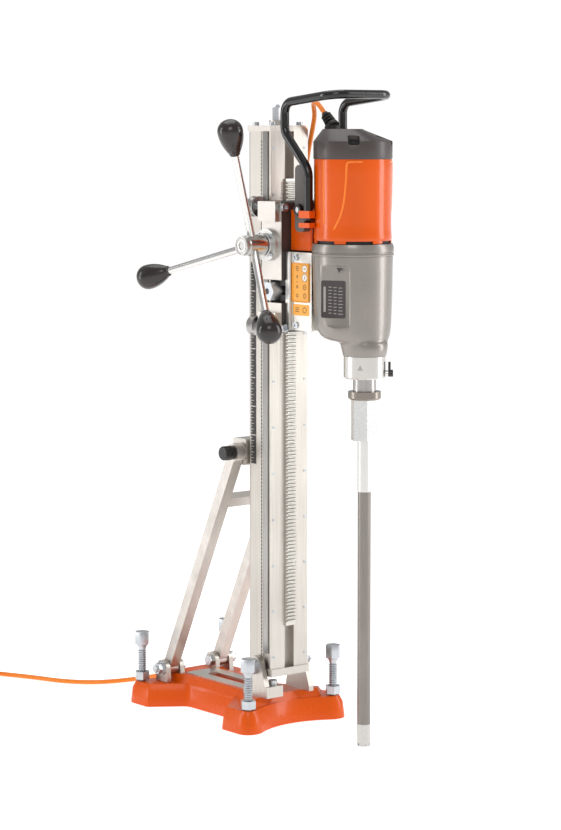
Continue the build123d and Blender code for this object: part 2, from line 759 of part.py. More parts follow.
with BuildPart() as crank_knobs:
    for spoke_plane in spoke_planes:
        knob_plane = spoke_plane.offset(spoke_length - knob_length_crank)
        with Locations(knob_plane):
            Cone(11, knob_radius, knob_length_crank * 0.6, align=ON_END)
        with Locations(knob_plane.offset(knob_length_crank * 0.6)):
            Cylinder(knob_radius, knob_length_crank * 0.4, align=ON_END)
    fillet(crank_knobs.edges().filter_by(GeomType.CIRCLE).filter_by(lambda e: e.radius > knob_radius - 0.1), 9.5)
    for spoke_plane in spoke_planes:
        with Locations(spoke_plane.offset(spoke_length - knob_length_crank)):
            Cylinder(spoke_radius + 3 * running, 8.5, align=ON_END, mode=Mode.SUBTRACT)
save(crank_knobs, "crank_knobs")

# ---------------------------------------------------------------- clamp screw of the tool slide
with BuildPart() as clamp_screw:
    screw_plane = Plane((-body_half + 6, clamp_screw_y, clamp_screw_z), x_dir=(0, 1, 0), z_dir=(-1, 0, 0))
    with Locations(screw_plane):
        add(hex_bar(30, 20))
    rod((-body_half - 15, clamp_screw_y, clamp_screw_z), 10, 5, ALONG_X, mode=Mode.SUBTRACT)
    rod((-body_half + 6, clamp_screw_y, clamp_screw_z), clamp_slot_depth + 20, 8, ALONG_X)
save(clamp_screw, "clamp_screw")

# ================================================================ tool slide and motor mounting
slide_front = -270
slide_plate = 13
slide_half = 50
slide_low = 697
slide_high = 829
slide_screw_y = carriage_front - slide_plate - 10
mount_low = 832
mount_high = 900
mount_front = -262
housing_radius = 67.5

with BuildPart() as adaptor_block:
    span((-56, 56), (carriage_front - slide_plate, carriage_front), (slide_low, slide_high))
    span((-slide_half, slide_half), (slide_front, carriage_front - slide_plate), (slide_low, slide_high))
    chamfer(adaptor_block.edges().filter_by(Axis.Z), 1.5)
    rod((0, motor_y, slide_low - 1), slide_high - slide_low + 2, housing_radius + 1 + seat, mode=Mode.SUBTRACT)
    for x in (-roller_x, roller_x):
        rod((x, carriage_front - 8, roller_lower_z), 9, axle_head + 1, ALONG_Y, mode=Mode.SUBTRACT)
    for z in (slide_low + 9, slide_high - 9):
        rod((-slide_half - 1, slide_screw_y, z), 14, 3 + running, ALONG_X, mode=Mode.SUBTRACT)
        rod((slide_half + 1, slide_screw_y, z), 14, 3 + running, ALONG_MINUS_X, mode=Mode.SUBTRACT)
save(adaptor_block, "adaptor_block")

with BuildPart() as motor_mount_plate:
    span((-45, 45), (mount_front, carriage_front), (mount_low, mount_high))
    chamfer(motor_mount_plate.edges().filter_by(Axis.Z), 3)
    rod((0, motor_y, mount_low - 1), mount_high - mount_low + 2, housing_radius + 1 + seat, mode=Mode.SUBTRACT)
    for x in (-roller_x, roller_x):
        rod((x, carriage_front - 8, roller_upper_z), 9, axle_head + 1, ALONG_Y, mode=Mode.SUBTRACT)
save(motor_mount_plate, "motor_mount_plate")

with BuildPart() as adaptor_screws:
    for side_x in SIDES:
        for z in (slide_low + 9, slide_high - 9):
            place = Plane((side_x * slide_half, slide_screw_y, z), x_dir=(0, 1, 0), z_dir=(side_x, 0, 0))
            with Locations(place):
                add(socket_screw(5.5, 3, 3, 3, 12))

# ================================================================ gearbox
housing_wall = 6
housing_low = 700
housing_top = 826
shoulder_low = 689
shoulder_radius = 58
shoulder_y = -325
neck_low = 659
neck_radius = 38
bearing_bore = 30
spindle_seat = 17
cover_top = 846
cover_web = 12
motor_shaft_radius = 6
motor_bearing_radius = 14
layshaft_radius = 7
layshaft_bearing_radius = 14
motor_pinion_teeth = 12
layshaft_wheel_teeth = 36
fast_module = 1.25
layshaft_pinion_teeth = 16
spindle_wheel_teeth = 36
slow_module = 1.5
fast_low = 800
slow_low = 768
gear_width = 14
fast_centres = (motor_pinion_teeth + layshaft_wheel_teeth) * fast_module / 2
slow_centres = (layshaft_pinion_teeth + spindle_wheel_teeth) * slow_module / 2
shaft_offset = motor_y - spindle_y
layshaft_along = (slow_centres**2 - fast_centres**2 + shaft_offset**2) / (2 * shaft_offset)
layshaft_y = spindle_y + layshaft_along
layshaft_x = sqrt(slow_centres**2 - layshaft_along**2)

with BuildPart() as gear_housing:
    rod((0, motor_y, housing_low), housing_top - housing_low, housing_radius)
    span((-slide_half + 2, slide_half - 2), (motor_y, slide_front), (housing_low, housing_top))
    rod((0, shoulder_y, shoulder_low), housing_low - shoulder_low + 1, shoulder_radius)
    cone((0, spindle_y, neck_low), shoulder_low - neck_low + 1, neck_radius - 3, neck_radius + 2)
    rod((0, motor_y, housing_low + housing_wall), housing_top - housing_low, housing_radius - housing_wall,
        mode=Mode.SUBTRACT)
    rod((0, spindle_y, neck_low - 1), housing_low - neck_low + housing_wall + 2, bearing_bore + running / 2,
        mode=Mode.SUBTRACT)
save(gear_housing, "gear_housing")

with BuildPart() as gear_cover:
    rod((0, motor_y, housing_top), cover_top - housing_top, housing_radius + 1)
    chamfer(gear_cover.edges().group_by(Axis.Z)[-1], 3)
    rod((0, motor_y, housing_top + cover_web), cover_top, housing_radius - housing_wall, mode=Mode.SUBTRACT)
    rod((0, motor_y, housing_top - 1), cover_web + 2, motor_bearing_radius + running / 2, mode=Mode.SUBTRACT)
    rod((layshaft_x, layshaft_y, housing_top - 1), cover_web - 2, layshaft_bearing_radius + running / 2,
        mode=Mode.SUBTRACT)
save(gear_cover, "gear_cover")

shell_radius = 65
shell_wall = 4
shell_low = 851
shell_top = 985
cap_shoulder = 1016
cap_top = 1036
cap_top_radius = 34
cap_top_y = motor_y + 26  # the sloping top leans back to the cord
bridge_low = 988
bridge_height = 15

with BuildPart() as bearings:
    for x, y, low, height, outer, inner in (
        (0, motor_y, housing_top, cover_web, motor_bearing_radius, motor_shaft_radius),
        (0, motor_y, bridge_low + 2, bridge_height - 5, motor_bearing_radius, motor_shaft_radius),
        (layshaft_x, layshaft_y, housing_top, cover_web - 4, layshaft_bearing_radius, layshaft_radius),
        (0, spindle_y, neck_low + 4, 16, bearing_bore, spindle_seat),
        (0, spindle_y, housing_low - 10, 16, bearing_bore, spindle_seat),
    ):
        rod((x, y, low), height, outer)
        rod((x, y, low - 1), height + 2, inner + running, mode=Mode.SUBTRACT)
save_group("bearings", bearings, crank_bushes)

with BuildPart() as layshaft:
    rod((layshaft_x, layshaft_y, slow_low - 20), housing_top + cover_web - 4 - slow_low + 20, layshaft_radius)
    wheel_turn = atan2(motor_y - layshaft_y, -layshaft_x)
    with Locations((layshaft_x, layshaft_y, fast_low)):
        add(involute_gear(layshaft_wheel_teeth, fast_module, gear_width, layshaft_radius - 1, 0.44, wheel_turn))
    pinion_turn = atan2(spindle_y - layshaft_y, -layshaft_x)
    with Locations((layshaft_x, layshaft_y, slow_low)):
        add(involute_gear(layshaft_pinion_teeth, slow_module, gear_width, layshaft_radius - 1, 0.44, pinion_turn))
save(layshaft, "layshaft")

with BuildPart() as layshaft_support:
    rod((layshaft_x, layshaft_y, housing_low + housing_wall), slow_low - 20 - housing_low - housing_wall - seat, 9)

spindle_low = 600
spindle_high = 800
spindle_radius = 19.25
water_low = 622
water_radius = 35

with BuildPart() as spindle:
    rod((0, spindle_y, spindle_low), neck_low - spindle_low - 2, spindle_radius)
    rod((0, spindle_y, spindle_low), spindle_high - spindle_low, spindle_seat)
    rod((0, spindle_y, housing_low + housing_wall + 2), slow_low - housing_low - housing_wall - 2, spindle_seat + 4)
    tooth_angle = 2 * pi / spindle_wheel_teeth
    mesh_turn = atan2(layshaft_y - spindle_y, layshaft_x) + tooth_angle / 2
    with Locations((0, spindle_y, slow_low)):
        add(involute_gear(spindle_wheel_teeth, slow_module, gear_width, spindle_seat - 1, 0.44, mesh_turn))
    rod((0, spindle_y, spindle_low - 1), spindle_high, 6, mode=Mode.SUBTRACT)
save(spindle, "spindle")

with BuildPart() as water_collar:
    rod((0, spindle_y, water_low), neck_low - water_low, water_radius)
    chamfer(water_collar.edges().group_by(Axis.Z)[0], 2)
    rod((0, spindle_y, water_low - 1), neck_low - water_low + 2, spindle_radius + 2 * running, mode=Mode.SUBTRACT)
    water_plane = Plane((0, spindle_y, water_low + 8), x_dir=(0, 0, 1), z_dir=(1, -0.8, 0))
    with Locations(water_plane.offset(water_radius - 12)):
        Cylinder(5, 16, align=ON_END)
    rod((0, spindle_y, water_low - 1), neck_low - water_low + 2, spindle_radius + 2 * running, mode=Mode.SUBTRACT)
save(water_collar, "water_collar")

with BuildPart() as water_lever:
    with Locations(water_plane.offset(water_radius + 4 + seat)):
        Cylinder(6, 8, align=ON_END)
        with Locations((8, 0, 0)):
            Box(22, 8, 4, align=(Align.CENTER, Align.CENTER, Align.MIN))
save(water_lever, "water_lever")

# ================================================================ core bit
ring_low = 586
ring_radius = 27.5
hex_low = 518
hex_flats = 41
shank_low = 431
crown_high = 37
bit_wall = 2.5

with BuildPart() as spindle_ring:
    rod((0, spindle_y, ring_low), spindle_low - ring_low, ring_radius)
    chamfer(spindle_ring.edges().group_by(Axis.Z)[0], 3)

with BuildPart() as hex_adaptor:
    with Locations((0, spindle_y, hex_low)):
        add(hex_bar(hex_flats, ring_low - hex_low))
save_group("bit_adaptor", hex_adaptor, spindle_ring)

with BuildPart() as bit_tube:
    rod((0, spindle_y, crown_high), hex_low - crown_high, bit_diameter / 2 - 0.4)
    rod((0, spindle_y, shank_low), hex_low - shank_low, bit_diameter / 2)
    rod((0, spindle_y, crown_high - 1), shank_low - crown_high, bit_diameter / 2 - bit_wall, mode=Mode.SUBTRACT)
save(bit_tube, "bit_tube")

with BuildPart() as bit_crown:
    rod((0, spindle_y, 0), crown_high, bit_diameter / 2)
    rod((0, spindle_y, -1), crown_high + 2, bit_diameter / 2 - bit_wall, mode=Mode.SUBTRACT)
    for angle in (0, 60, 120):
        with Locations(Location((0, spindle_y, 0), (0, 0, angle))):
            Box(bit_diameter + 2, 2.4, 10, mode=Mode.SUBTRACT)
save(bit_crown, "bit_crown")

# ================================================================ motor
stator_low = 880
stator_high = 945
armature_radius = 35

with BuildPart() as motor_shell:
    rod((0, motor_y, shell_low), shell_top - shell_low, shell_radius)
    # feet between the cooling slots, standing on the gearbox cover
    for i in range(6):
        angle = 60 * i + 30
        with Locations(Location((0, motor_y, cover_top), (0, 0, angle))):
            with Locations((shell_radius - 1, 0, 0)):
                Box(2 * shell_wall, 14, shell_low - cover_top + 1, align=(Align.MAX, Align.CENTER, Align.MIN))
    rod((0, motor_y, cover_top - 1), shell_top - cover_top + 2, shell_radius - shell_wall, mode=Mode.SUBTRACT)
save(motor_shell, "motor_shell")

with BuildPart() as motor_cap:
    rod((0, motor_y, shell_top), cap_shoulder - shell_top, shell_radius + 1)
    for y, z, radius in ((motor_y, cap_shoulder, shell_radius + 1), (cap_top_y, cap_top, cap_top_radius)):
        with BuildSketch(Plane.XY.offset(z)):
            with Locations((0, y)):
                Circle(radius)
    loft()
    rod((0, motor_y, shell_top - 1), cap_shoulder - 7 - shell_top, shell_radius - shell_wall, mode=Mode.SUBTRACT)
    rod((0, motor_y, cap_shoulder - 9), 14, 44, mode=Mode.SUBTRACT)
save(motor_cap, "motor_cap")

with BuildPart() as stator:
    rod((0, motor_y, stator_low), stator_high - stator_low, shell_radius - shell_wall - 0.2)
    rod((0, motor_y, stator_low - 1), stator_high - stator_low + 2, armature_radius + 1.5, mode=Mode.SUBTRACT)
save(stator, "stator")

with BuildPart() as armature:
    rod((0, motor_y, fast_low - 4), bridge_low + bridge_height - 4 - fast_low + 4, motor_shaft_radius)
    rod((0, motor_y, stator_low + 2), stator_high - stator_low - 4, armature_radius)
    rod((0, motor_y, stator_high + 12), 22, 17)
    rod((0, motor_y, 860), 4, 54)
    for i in range(9):
        with Locations(Location((0, motor_y, 864), (0, 0, 40 * i))):
            with Locations((38, 0, 0)):
                Box(30, 2, 10, align=(Align.CENTER, Align.CENTER, Align.MIN))
    rod((0, motor_y, 863), 18, 12)
    motor_mesh = atan2(layshaft_y - motor_y, layshaft_x) + pi / motor_pinion_teeth
    with Locations((0, motor_y, fast_low)):
        add(involute_gear(motor_pinion_teeth, fast_module, gear_width, motor_shaft_radius - 1, 0.44, motor_mesh))
save(armature, "armature")

with BuildPart() as brush_gear:
    rod((0, motor_y, stator_high + 30), 5, shell_radius - shell_wall - 0.2)
    rod((0, motor_y, stator_high + 29), 7, 30, mode=Mode.SUBTRACT)
    for side_y in SIDES:
        span((-4, 4), (motor_y + side_y * 17.5, motor_y + side_y * 40), (stator_high + 14, stator_high + 32))
    rod((0, motor_y, bridge_low), bridge_height, shell_radius - shell_wall - 0.2)
    rod((0, motor_y, bridge_low - 1), bridge_height - 2, motor_bearing_radius + running / 2, mode=Mode.SUBTRACT)
save(brush_gear, "brush_gear")

with BuildPart() as power_switch:
    span((shell_radius + 1.3, shell_radius + 5), (motor_y - 9, motor_y + 9), (shell_top + 4, shell_top + 26))
    fillet(power_switch.edges().filter_by(Axis.Y), 1.5)
save(power_switch, "power_switch")

with BuildPart() as gear_selector:
    rod((housing_radius + seat, motor_y, 760), 5, 15, ALONG_X)
    span((housing_radius + 5, housing_radius + 13), (motor_y - 3.5, motor_y + 3.5), (746, 774))
save(gear_selector, "gear_selector")

# ================================================================ handle
handle_x = 64
tube_radius = 7.5
grip_path = (
    (-handle_x, -277, 884), (-handle_x, -277, 968), (-handle_x, -215, 1030), (-handle_x, -215, 1080),
    (-handle_x, -342, 1093), (handle_x, -342, 1093), (handle_x, -215, 1080), (handle_x, -215, 1030),
    (handle_x, -277, 968), (handle_x, -277, 884),
)
grip_bends = (30, 28, 20, 26, 26, 20, 28, 30)
bracket_inner = 46
bracket_outer = 60

with BuildPart() as handle_tube:
    with BuildLine() as grip_line:
        FilletPolyline(*grip_path, radius=grip_bends)
    with BuildSketch(Plane(grip_path[0], x_dir=(1, 0, 0), z_dir=(0, 0, 1))):
        Circle(tube_radius)
    sweep(path=grip_line.wires()[0])
save(handle_tube, "handle_tube")

with BuildPart() as handle_brackets:
    for side_x in SIDES:
        with BuildSketch(Plane.YZ.offset(side_x * bracket_inner)):
            with Locations((-249.5, 920)):
                blank = Rectangle(25, 112)
            fillet(blank.vertices(), 9)
        extrude(amount=side_x * (bracket_outer - bracket_inner))
        for low, high in ((888, 900), (872, 880)):
            span((side_x * 48, side_x * 73), (-290, -262.5), (low, high))
        rod((side_x * handle_x, -277, 883.7), 40, tube_radius + running, mode=Mode.SUBTRACT)
    rod((0, motor_y, 860), 130, shell_radius + 0.3, mode=Mode.SUBTRACT)
save(handle_brackets, "handle_brackets")

with BuildPart() as handle_screws:
    for side_x in SIDES:
        turned = ALONG_X if side_x > 0 else ALONG_MINUS_X
        rod((side_x * bracket_outer, -249.5, 901), 6, 9, turned)
save_group("carriage_screws", flange_screws, adaptor_screws, handle_screws, layshaft_support)

# ================================================================ cord
cord_radius = cord_diameter / 2
boot_start = (0, -262, cap_top)
boot_turn = (-45, 0, 0)
boot_length = 26.5

with BuildPart() as cord_gland:
    rod(boot_start, 6, 10)
    with Locations((boot_start[0], boot_start[1], cap_top + 7)):
        Sphere(9)
    cone((boot_start[0], boot_start[1], cap_top + 7), boot_length, 9, 6, boot_turn)
    rod((-20, -262, cap_top - 20), 20, 30, mode=Mode.SUBTRACT)
save(cord_gland, "cord_gland")

exit_reach = boot_length / sqrt(2)
cord_exit = (boot_start[0], boot_start[1] + exit_reach, cap_top + 7 + exit_reach)
upper_route = (
    cord_exit, (0, -230.1, 1074.9), (4.8, -214.2, 1081.4), (17.4, -191.4, 1080), (34, -176.2, 1062.6),
    (41, -165.4, 1047), (56, -132, 995), (62, -112, 930), (72, -94, 840), (89, -70, 690), (93, -58, 575),
)
lower_route = (
    (93, -58, 575), (97, -46, 460), (97, -36, 355), (95, -18, 250), (97, 6, 160), (108, 38, 85),
    (126, 74, 30), (150, 112, cord_radius), (174, 158, cord_radius), (188, 212, cord_radius),
    (178, 262, cord_radius), (140, 288, cord_radius), (84, 297, cord_radius), (24, 298, cord_radius),
    (-36, 305, cord_radius), (-86, 326, cord_radius), (-124, 372, cord_radius), (-146, 434, cord_radius),
    (-178, 500, cord_radius), (-206, 548, cord_radius),
)
coil_mean = 44
coil_wide = 2
coil_high = 3


def corner_radii(route):
    """As large an arc at each corner as its two runs allow."""
    points = [Vector(*point) for point in route]
    radii = []
    for before, here, after in zip(points, points[1:], points[2:]):
        half_turn = radians((here - before).get_angle(after - here)) / 2
        shorter = min((here - before).length, (after - here).length)
        radii.append(0.45 * shorter / tan(half_turn))
    return radii


for name, route in (("cord_upper", upper_route), ("cord_lower", lower_route)):
    radii = corner_radii(route)
    print(name, "smallest bend", round(min(radii), 1), "of", [round(radius) for radius in radii])
    with BuildPart() as cord:
        with BuildLine() as cord_line:
            FilletPolyline(*route, radius=radii)
        with BuildSketch(Plane(route[0], z_dir=Vector(*route[1]) - Vector(*route[0]))):
            Circle(cord_radius)
        sweep(path=cord_line.wires()[0])
    length = cord_line.wires()[0].length
    print(name, "length", round(length), "volume", round(cord.part.volume / (pi * cord_radius**2 * length), 4))
    save(cord, name)

heading = Vector(*lower_route[-1]) - Vector(*lower_route[-2])
heading = heading.normalized()
coil_centre = Vector(*lower_route[-1]) + Vector(-heading.Y, heading.X, 0) * coil_mean
coil_half = coil_wide * cord_radius

with BuildPart() as cord_coil:
    with BuildSketch(Plane.XY):
        with Locations((coil_centre.X, coil_centre.Y)):
            Circle(coil_mean + coil_half)
            Circle(coil_mean - coil_half, mode=Mode.SUBTRACT)
    extrude(amount=coil_high * cord_diameter)
    fillet(cord_coil.edges().group_by(Axis.Z)[-1], cord_radius - 0.5)
save(cord_coil, "cord_coil")

plug_radius = 18
plug_length = 48
pin_radius = 2.4
pin_length = 19
pin_half_spacing = 9.5
plug_tail = 22
plug_x = coil_centre.X - coil_mean - 13  # it lies beside the coil
plug_y = coil_centre.Y - 35
plug_z = plug_radius + seat

with BuildPart() as plug:
    rod((plug_x, plug_y, plug_z), plug_length, plug_radius, ALONG_MINUS_Y)
    cone((plug_x, plug_y, plug_z), plug_tail, plug_radius - 6, cord_radius + 1.5, ALONG_Y)
    for side_x in SIDES:
        rod((plug_x + side_x * pin_half_spacing, plug_y - plug_length, plug_z), pin_length, pin_radius,
            ALONG_MINUS_Y)
save(plug, "plug")
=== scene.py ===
"""Core drill rig: rack column on a cast base, crank-fed carriage, electric drill motor, core bit and mains lead.

Metres, +Z up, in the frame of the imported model. The drill is on the -Y side, the feed crank on the -X side.
"""

import math

import bpy
from mathutils import Matrix, Vector


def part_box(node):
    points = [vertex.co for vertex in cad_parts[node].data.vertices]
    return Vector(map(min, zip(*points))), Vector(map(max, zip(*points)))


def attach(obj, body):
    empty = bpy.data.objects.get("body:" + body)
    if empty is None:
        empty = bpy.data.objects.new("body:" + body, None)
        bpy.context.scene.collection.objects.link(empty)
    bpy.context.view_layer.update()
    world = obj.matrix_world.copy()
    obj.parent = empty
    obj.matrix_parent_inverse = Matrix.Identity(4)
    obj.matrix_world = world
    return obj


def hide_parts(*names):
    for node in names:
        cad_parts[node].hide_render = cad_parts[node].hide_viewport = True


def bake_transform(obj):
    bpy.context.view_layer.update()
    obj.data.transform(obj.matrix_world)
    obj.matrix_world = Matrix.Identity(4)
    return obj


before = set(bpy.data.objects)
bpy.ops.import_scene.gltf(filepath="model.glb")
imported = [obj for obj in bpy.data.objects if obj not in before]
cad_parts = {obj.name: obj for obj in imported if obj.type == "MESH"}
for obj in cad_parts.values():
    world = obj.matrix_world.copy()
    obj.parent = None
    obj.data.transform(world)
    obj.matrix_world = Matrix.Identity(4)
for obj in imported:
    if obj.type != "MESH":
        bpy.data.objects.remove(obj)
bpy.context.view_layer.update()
bpy.ops.object.select_all(action="DESELECT")

# ---------------------------------------------------------------- camera
# A long lens at the height of the motor's cap, turned a little down, looking at the rig's crank side and front.
# It is shifted down as well, so that upright edges stay close to upright.
camera_place = (-2.7614, -3.5144, 1.0338)
degrees_below_level = 4.559
degrees_round_from_front = -39.171
bpy.ops.object.camera_add(
    location=camera_place,
    rotation=(math.radians(90 - degrees_below_level), 0, math.radians(degrees_round_from_front)),
)
camera = bpy.context.object
camera.select_set(False)
camera.data.lens = 109.76
camera.data.sensor_width = 36
camera.data.shift_y = -0.1
camera.data.clip_end = 80
bpy.context.scene.camera = camera

# ---------------------------------------------------------------- mains lead
# Three-core rubber flex, 8 mm across, 3.2 m long. It leaves the motor's rear top, hangs down behind the column,
# and lies along the floor past the base. What isn't in use is wound in a round coil with a tie, plug beside it.
cord_radius = 0.004
carriage_end = (0.093, -0.058, 0.575)
upper_route = [
    (0, -0.24326, 1.06174), (0, -0.2301, 1.0749), (0.0048, -0.2142, 1.0814), (0.0174, -0.1914, 1.0800),
    (0.0340, -0.1762, 1.0626), (0.0410, -0.1654, 1.0470), (0.056, -0.132, 0.995), (0.062, -0.112, 0.930),
    (0.072, -0.094, 0.840), (0.089, -0.070, 0.690), carriage_end,
]
lower_route = [
    carriage_end, (0.097, -0.046, 0.460), (0.097, -0.036, 0.355), (0.095, -0.018, 0.250), (0.097, 0.006, 0.160),
    (0.108, 0.038, 0.085), (0.126, 0.074, 0.030), (0.150, 0.112, 0.004), (0.174, 0.158, 0.004),
    (0.188, 0.212, 0.004), (0.178, 0.262, 0.004), (0.140, 0.288, 0.004), (0.084, 0.297, 0.004),
    (0.024, 0.298, 0.004), (-0.036, 0.305, 0.004), (-0.086, 0.326, 0.004), (-0.124, 0.372, 0.004),
    (-0.146, 0.434, 0.004), (-0.178, 0.500, 0.004), (-0.206, 0.548, 0.004),
]
coil_mean = 0.044
heading = (Vector(lower_route[-1]) - Vector(lower_route[-2])).normalized()
coil_centre = Vector(lower_route[-1]) + Vector((-heading.y, heading.x, 0)) * coil_mean
coil_start = math.atan2(lower_route[-1][1] - coil_centre.y, lower_route[-1][0] - coil_centre.x)
# the places that the turns lie in, as (sideways, upwards) steps: outer, inner, then up a layer and back out
coil_places = ((1, 0), (-1, 0), (-1, 1), (1, 1), (1, 2))
points_per_turn = 16
first_change = 285  # degrees after which the lead first moves to its next place
change_over = 40  # degrees over which it moves
coil_side = 0.0045
coil_rise = 0.0083
full_turns = 4


def coil_point(turned):
    """The lead's place after it has gone round the coil by that many degrees."""
    side, layer = coil_places[0]
    for k in range(1, len(coil_places)):
        share = (turned - first_change - (k - 1) * (360 - change_over)) / change_over
        share = min(max(share, 0), 1)
        share = share * share * (3 - 2 * share)
        side += (coil_places[k][0] - coil_places[k - 1][0]) * share
        layer += (coil_places[k][1] - coil_places[k - 1][1]) * share
    radius = (coil_mean + coil_side * side) / math.cos(math.pi / points_per_turn)
    around = coil_start + math.radians(turned)
    return (
        coil_centre.x + radius * math.cos(around), coil_centre.y + radius * math.sin(around),
        cord_radius + coil_rise * layer,
    )


plug_standoff = 0.013  # from the middle of the coil's turns to the plug's axis
plug_axis_x = coil_centre.x - coil_mean - plug_standoff
plug_axis_z = 0.0183
plug_back_y = coil_centre.y - 0.035
leave_angle = 115  # the lead leaves the coil here, in a wide bend that ends in the plug's tail
leave_radius = 0.0625
last_turn = 360 * full_turns + leave_angle - math.degrees(coil_start)
coil_steps = int(last_turn / (360 / points_per_turn))
coil_points = [coil_point(i * 360 / points_per_turn) for i in range(coil_steps + 1)]
coil_leave = []
for degrees_round, z in ((125, 0.0206), (138, 0.0204), (151, 0.0199), (164, 0.0191), (176, 0.0185)):
    around = math.radians(degrees_round)
    coil_leave.append((
        plug_axis_x + leave_radius + leave_radius * math.cos(around),
        coil_centre.y - plug_standoff + leave_radius * math.sin(around), z,
    ))
coil_leave.append((plug_axis_x, plug_back_y + 0.018, plug_axis_z))


def lay_cord(name, points):
    """Lays a round lead along a smooth curve and returns the piece and the line that its middle follows."""
    curve = bpy.data.curves.new(name, "CURVE")
    curve.dimensions = "3D"
    curve.resolution_u = 8
    spline = curve.splines.new("NURBS")
    spline.points.add(len(points) - 1)
    for point, place in zip(spline.points, points):
        point.co = (*place, 1)
    spline.order_u = 3
    spline.use_endpoint_u = True
    piece = bpy.data.objects.new(name, curve)
    bpy.context.scene.collection.objects.link(piece)
    line_mesh = bpy.data.meshes.new_from_object(piece)
    line = [tuple(v.co) for v in line_mesh.vertices]
    bpy.data.meshes.remove(line_mesh)
    curve.bevel_depth = cord_radius
    curve.bevel_resolution = 4
    curve.use_fill_caps = True
    bpy.context.view_layer.objects.active = piece
    piece.select_set(True)
    bpy.ops.object.convert(target="MESH")
    piece = bpy.context.object
    bpy.ops.object.shade_smooth()
    piece.select_set(False)
    return piece, line


cord_upper, upper_line = lay_cord("lead_hanging", upper_route)
cord_lower, lower_line = lay_cord("lead_on_floor", lower_route[:-1] + coil_points + coil_leave)
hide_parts("cord_upper")
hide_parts("cord_lower", "cord_coil")
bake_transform(cord_upper)
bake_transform(cord_lower)


def srgb(code):
    """The linear colour of an sRGB hex code."""
    values = [int(code[i : i + 2], 16) / 255 for i in (1, 3, 5)]
    return (*[v / 12.92 if v <= 0.04045 else ((v + 0.055) / 1.055) ** 2.4 for v in values], 1)


def add_node(material, kind, settings=None, links=None):
    """One shader node. Settings are its properties or inputs' values, links its inputs fed by other outputs."""
    node = material.node_tree.nodes.new("ShaderNode" + kind)
    for key, value in (settings or {}).items():
        if isinstance(key, str) and hasattr(node, key):
            setattr(node, key, value)
        else:
            node.inputs[key].default_value = value
    for key, source in (links or {}).items():
        material.node_tree.links.new(source, node.inputs[key])
    return node


def finish_of(name, colours, metallic, roughness, grain, relief, stretch=(1, 1, 1), coat=0.0, drift=9.0, ior=1.45):
    """A worked surface: a colour that drifts between two close ones, and a fine grain in its gloss and relief.

    The grain is its real size in metres, and stretch draws it out along an axis, as rolling or brushing does.
    """
    material = bpy.data.materials.new(name)
    material.use_nodes = True
    tree = material.node_tree
    shader = tree.nodes["Principled BSDF"]
    place = add_node(material, "TexCoord").outputs["Object"]
    drawn = add_node(material, "Mapping", {"Scale": stretch}, {"Vector": place}).outputs["Vector"]
    fine = add_node(material, "TexNoise", {"Scale": 1 / grain, "Detail": 3.0}, {"Vector": drawn}).outputs["Fac"]
    broad = add_node(material, "TexNoise", {"Scale": drift, "Detail": 2.0}, {"Vector": place}).outputs["Fac"]
    both = add_node(material, "Math", {"operation": "ADD"}, {0: fine, 1: broad}).outputs[0]
    spread = add_node(
        material, "MapRange", {"From Min": 0.75, "From Max": 1.25}, {"Value": both}
    ).outputs["Result"]
    tint = add_node(material, "Mix", {"data_type": "RGBA", 6: srgb(colours[0]), 7: srgb(colours[1])}, {0: spread})
    tint.name = "tint"
    tree.links.new(tint.outputs[2], shader.inputs["Base Color"])
    gloss = add_node(
        material, "MapRange",
        {"From Min": 0.3, "From Max": 0.7, "To Min": roughness * 0.82, "To Max": min(roughness * 1.2, 1)},
        {"Value": fine},
    )
    tree.links.new(gloss.outputs["Result"], shader.inputs["Roughness"])
    bump = add_node(material, "Bump", {"Strength": 0.6, "Distance": relief}, {"Height": fine})
    tree.links.new(bump.outputs["Normal"], shader.inputs["Normal"])
    shader.inputs["Metallic"].default_value = metallic
    if coat:
        shader.inputs["Coat Weight"].default_value = coat
        shader.inputs["Coat Roughness"].default_value = 0.05
    if metallic < 0.5:
        shader.inputs["IOR"].default_value = ior
    return material


def two_tone(material, axis, edge_places, colour):
    """Gives a finish another colour between two places along an axis, and returns the mask of that stretch."""
    tree = material.node_tree
    place = add_node(material, "TexCoord").outputs["Object"]
    along = add_node(material, "SeparateXYZ", {}, {"Vector": place}).outputs[axis]
    above = add_node(material, "Math", {"operation": "GREATER_THAN", 1: edge_places[0]}, {0: along}).outputs[0]
    below = add_node(material, "Math", {"operation": "LESS_THAN", 1: edge_places[1]}, {0: along}).outputs[0]
    within = add_node(material, "Math", {"operation": "MULTIPLY"}, {0: above, 1: below}).outputs[0]
    last = tree.nodes["Principled BSDF"].inputs["Base Color"].links[0].from_socket
    tint = add_node(material, "Mix", {"data_type": "RGBA", 7: srgb(colour)}, {0: within, 6: last})
    tree.links.new(tint.outputs[2], tree.nodes["Principled BSDF"].inputs["Base Color"])
    return within


def dress(node, material):
    """Gives a CAD node its finish."""
    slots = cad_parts[node].data.materials
    slots.clear()
    slots.append(material)


# orange thermoplastic rubber: a soft sheen, with a faint grain
lead_jacket = finish_of("lead_jacket_rubber", ("#F28A22", "#E9791A"), 0, 0.42, 0.004, 0.0002)
for lead in (cord_upper, cord_lower):
    lead.data.materials.clear()
    lead.data.materials.append(lead_jacket)

# ---------------------------------------------------------------- lead's boot, joint clip, coil tie and plug
# Black rubber mouldings: a ribbed boot that keeps the lead from kinking where it leaves the cap, a clip on the
# hanging part, a strap round the coil and an earthed plug with two nickelled pins.
black_rubber = finish_of("black_rubber_moulding", ("#1B1918", "#24211F"), 0, 0.45, 0.0015, 0.0001)


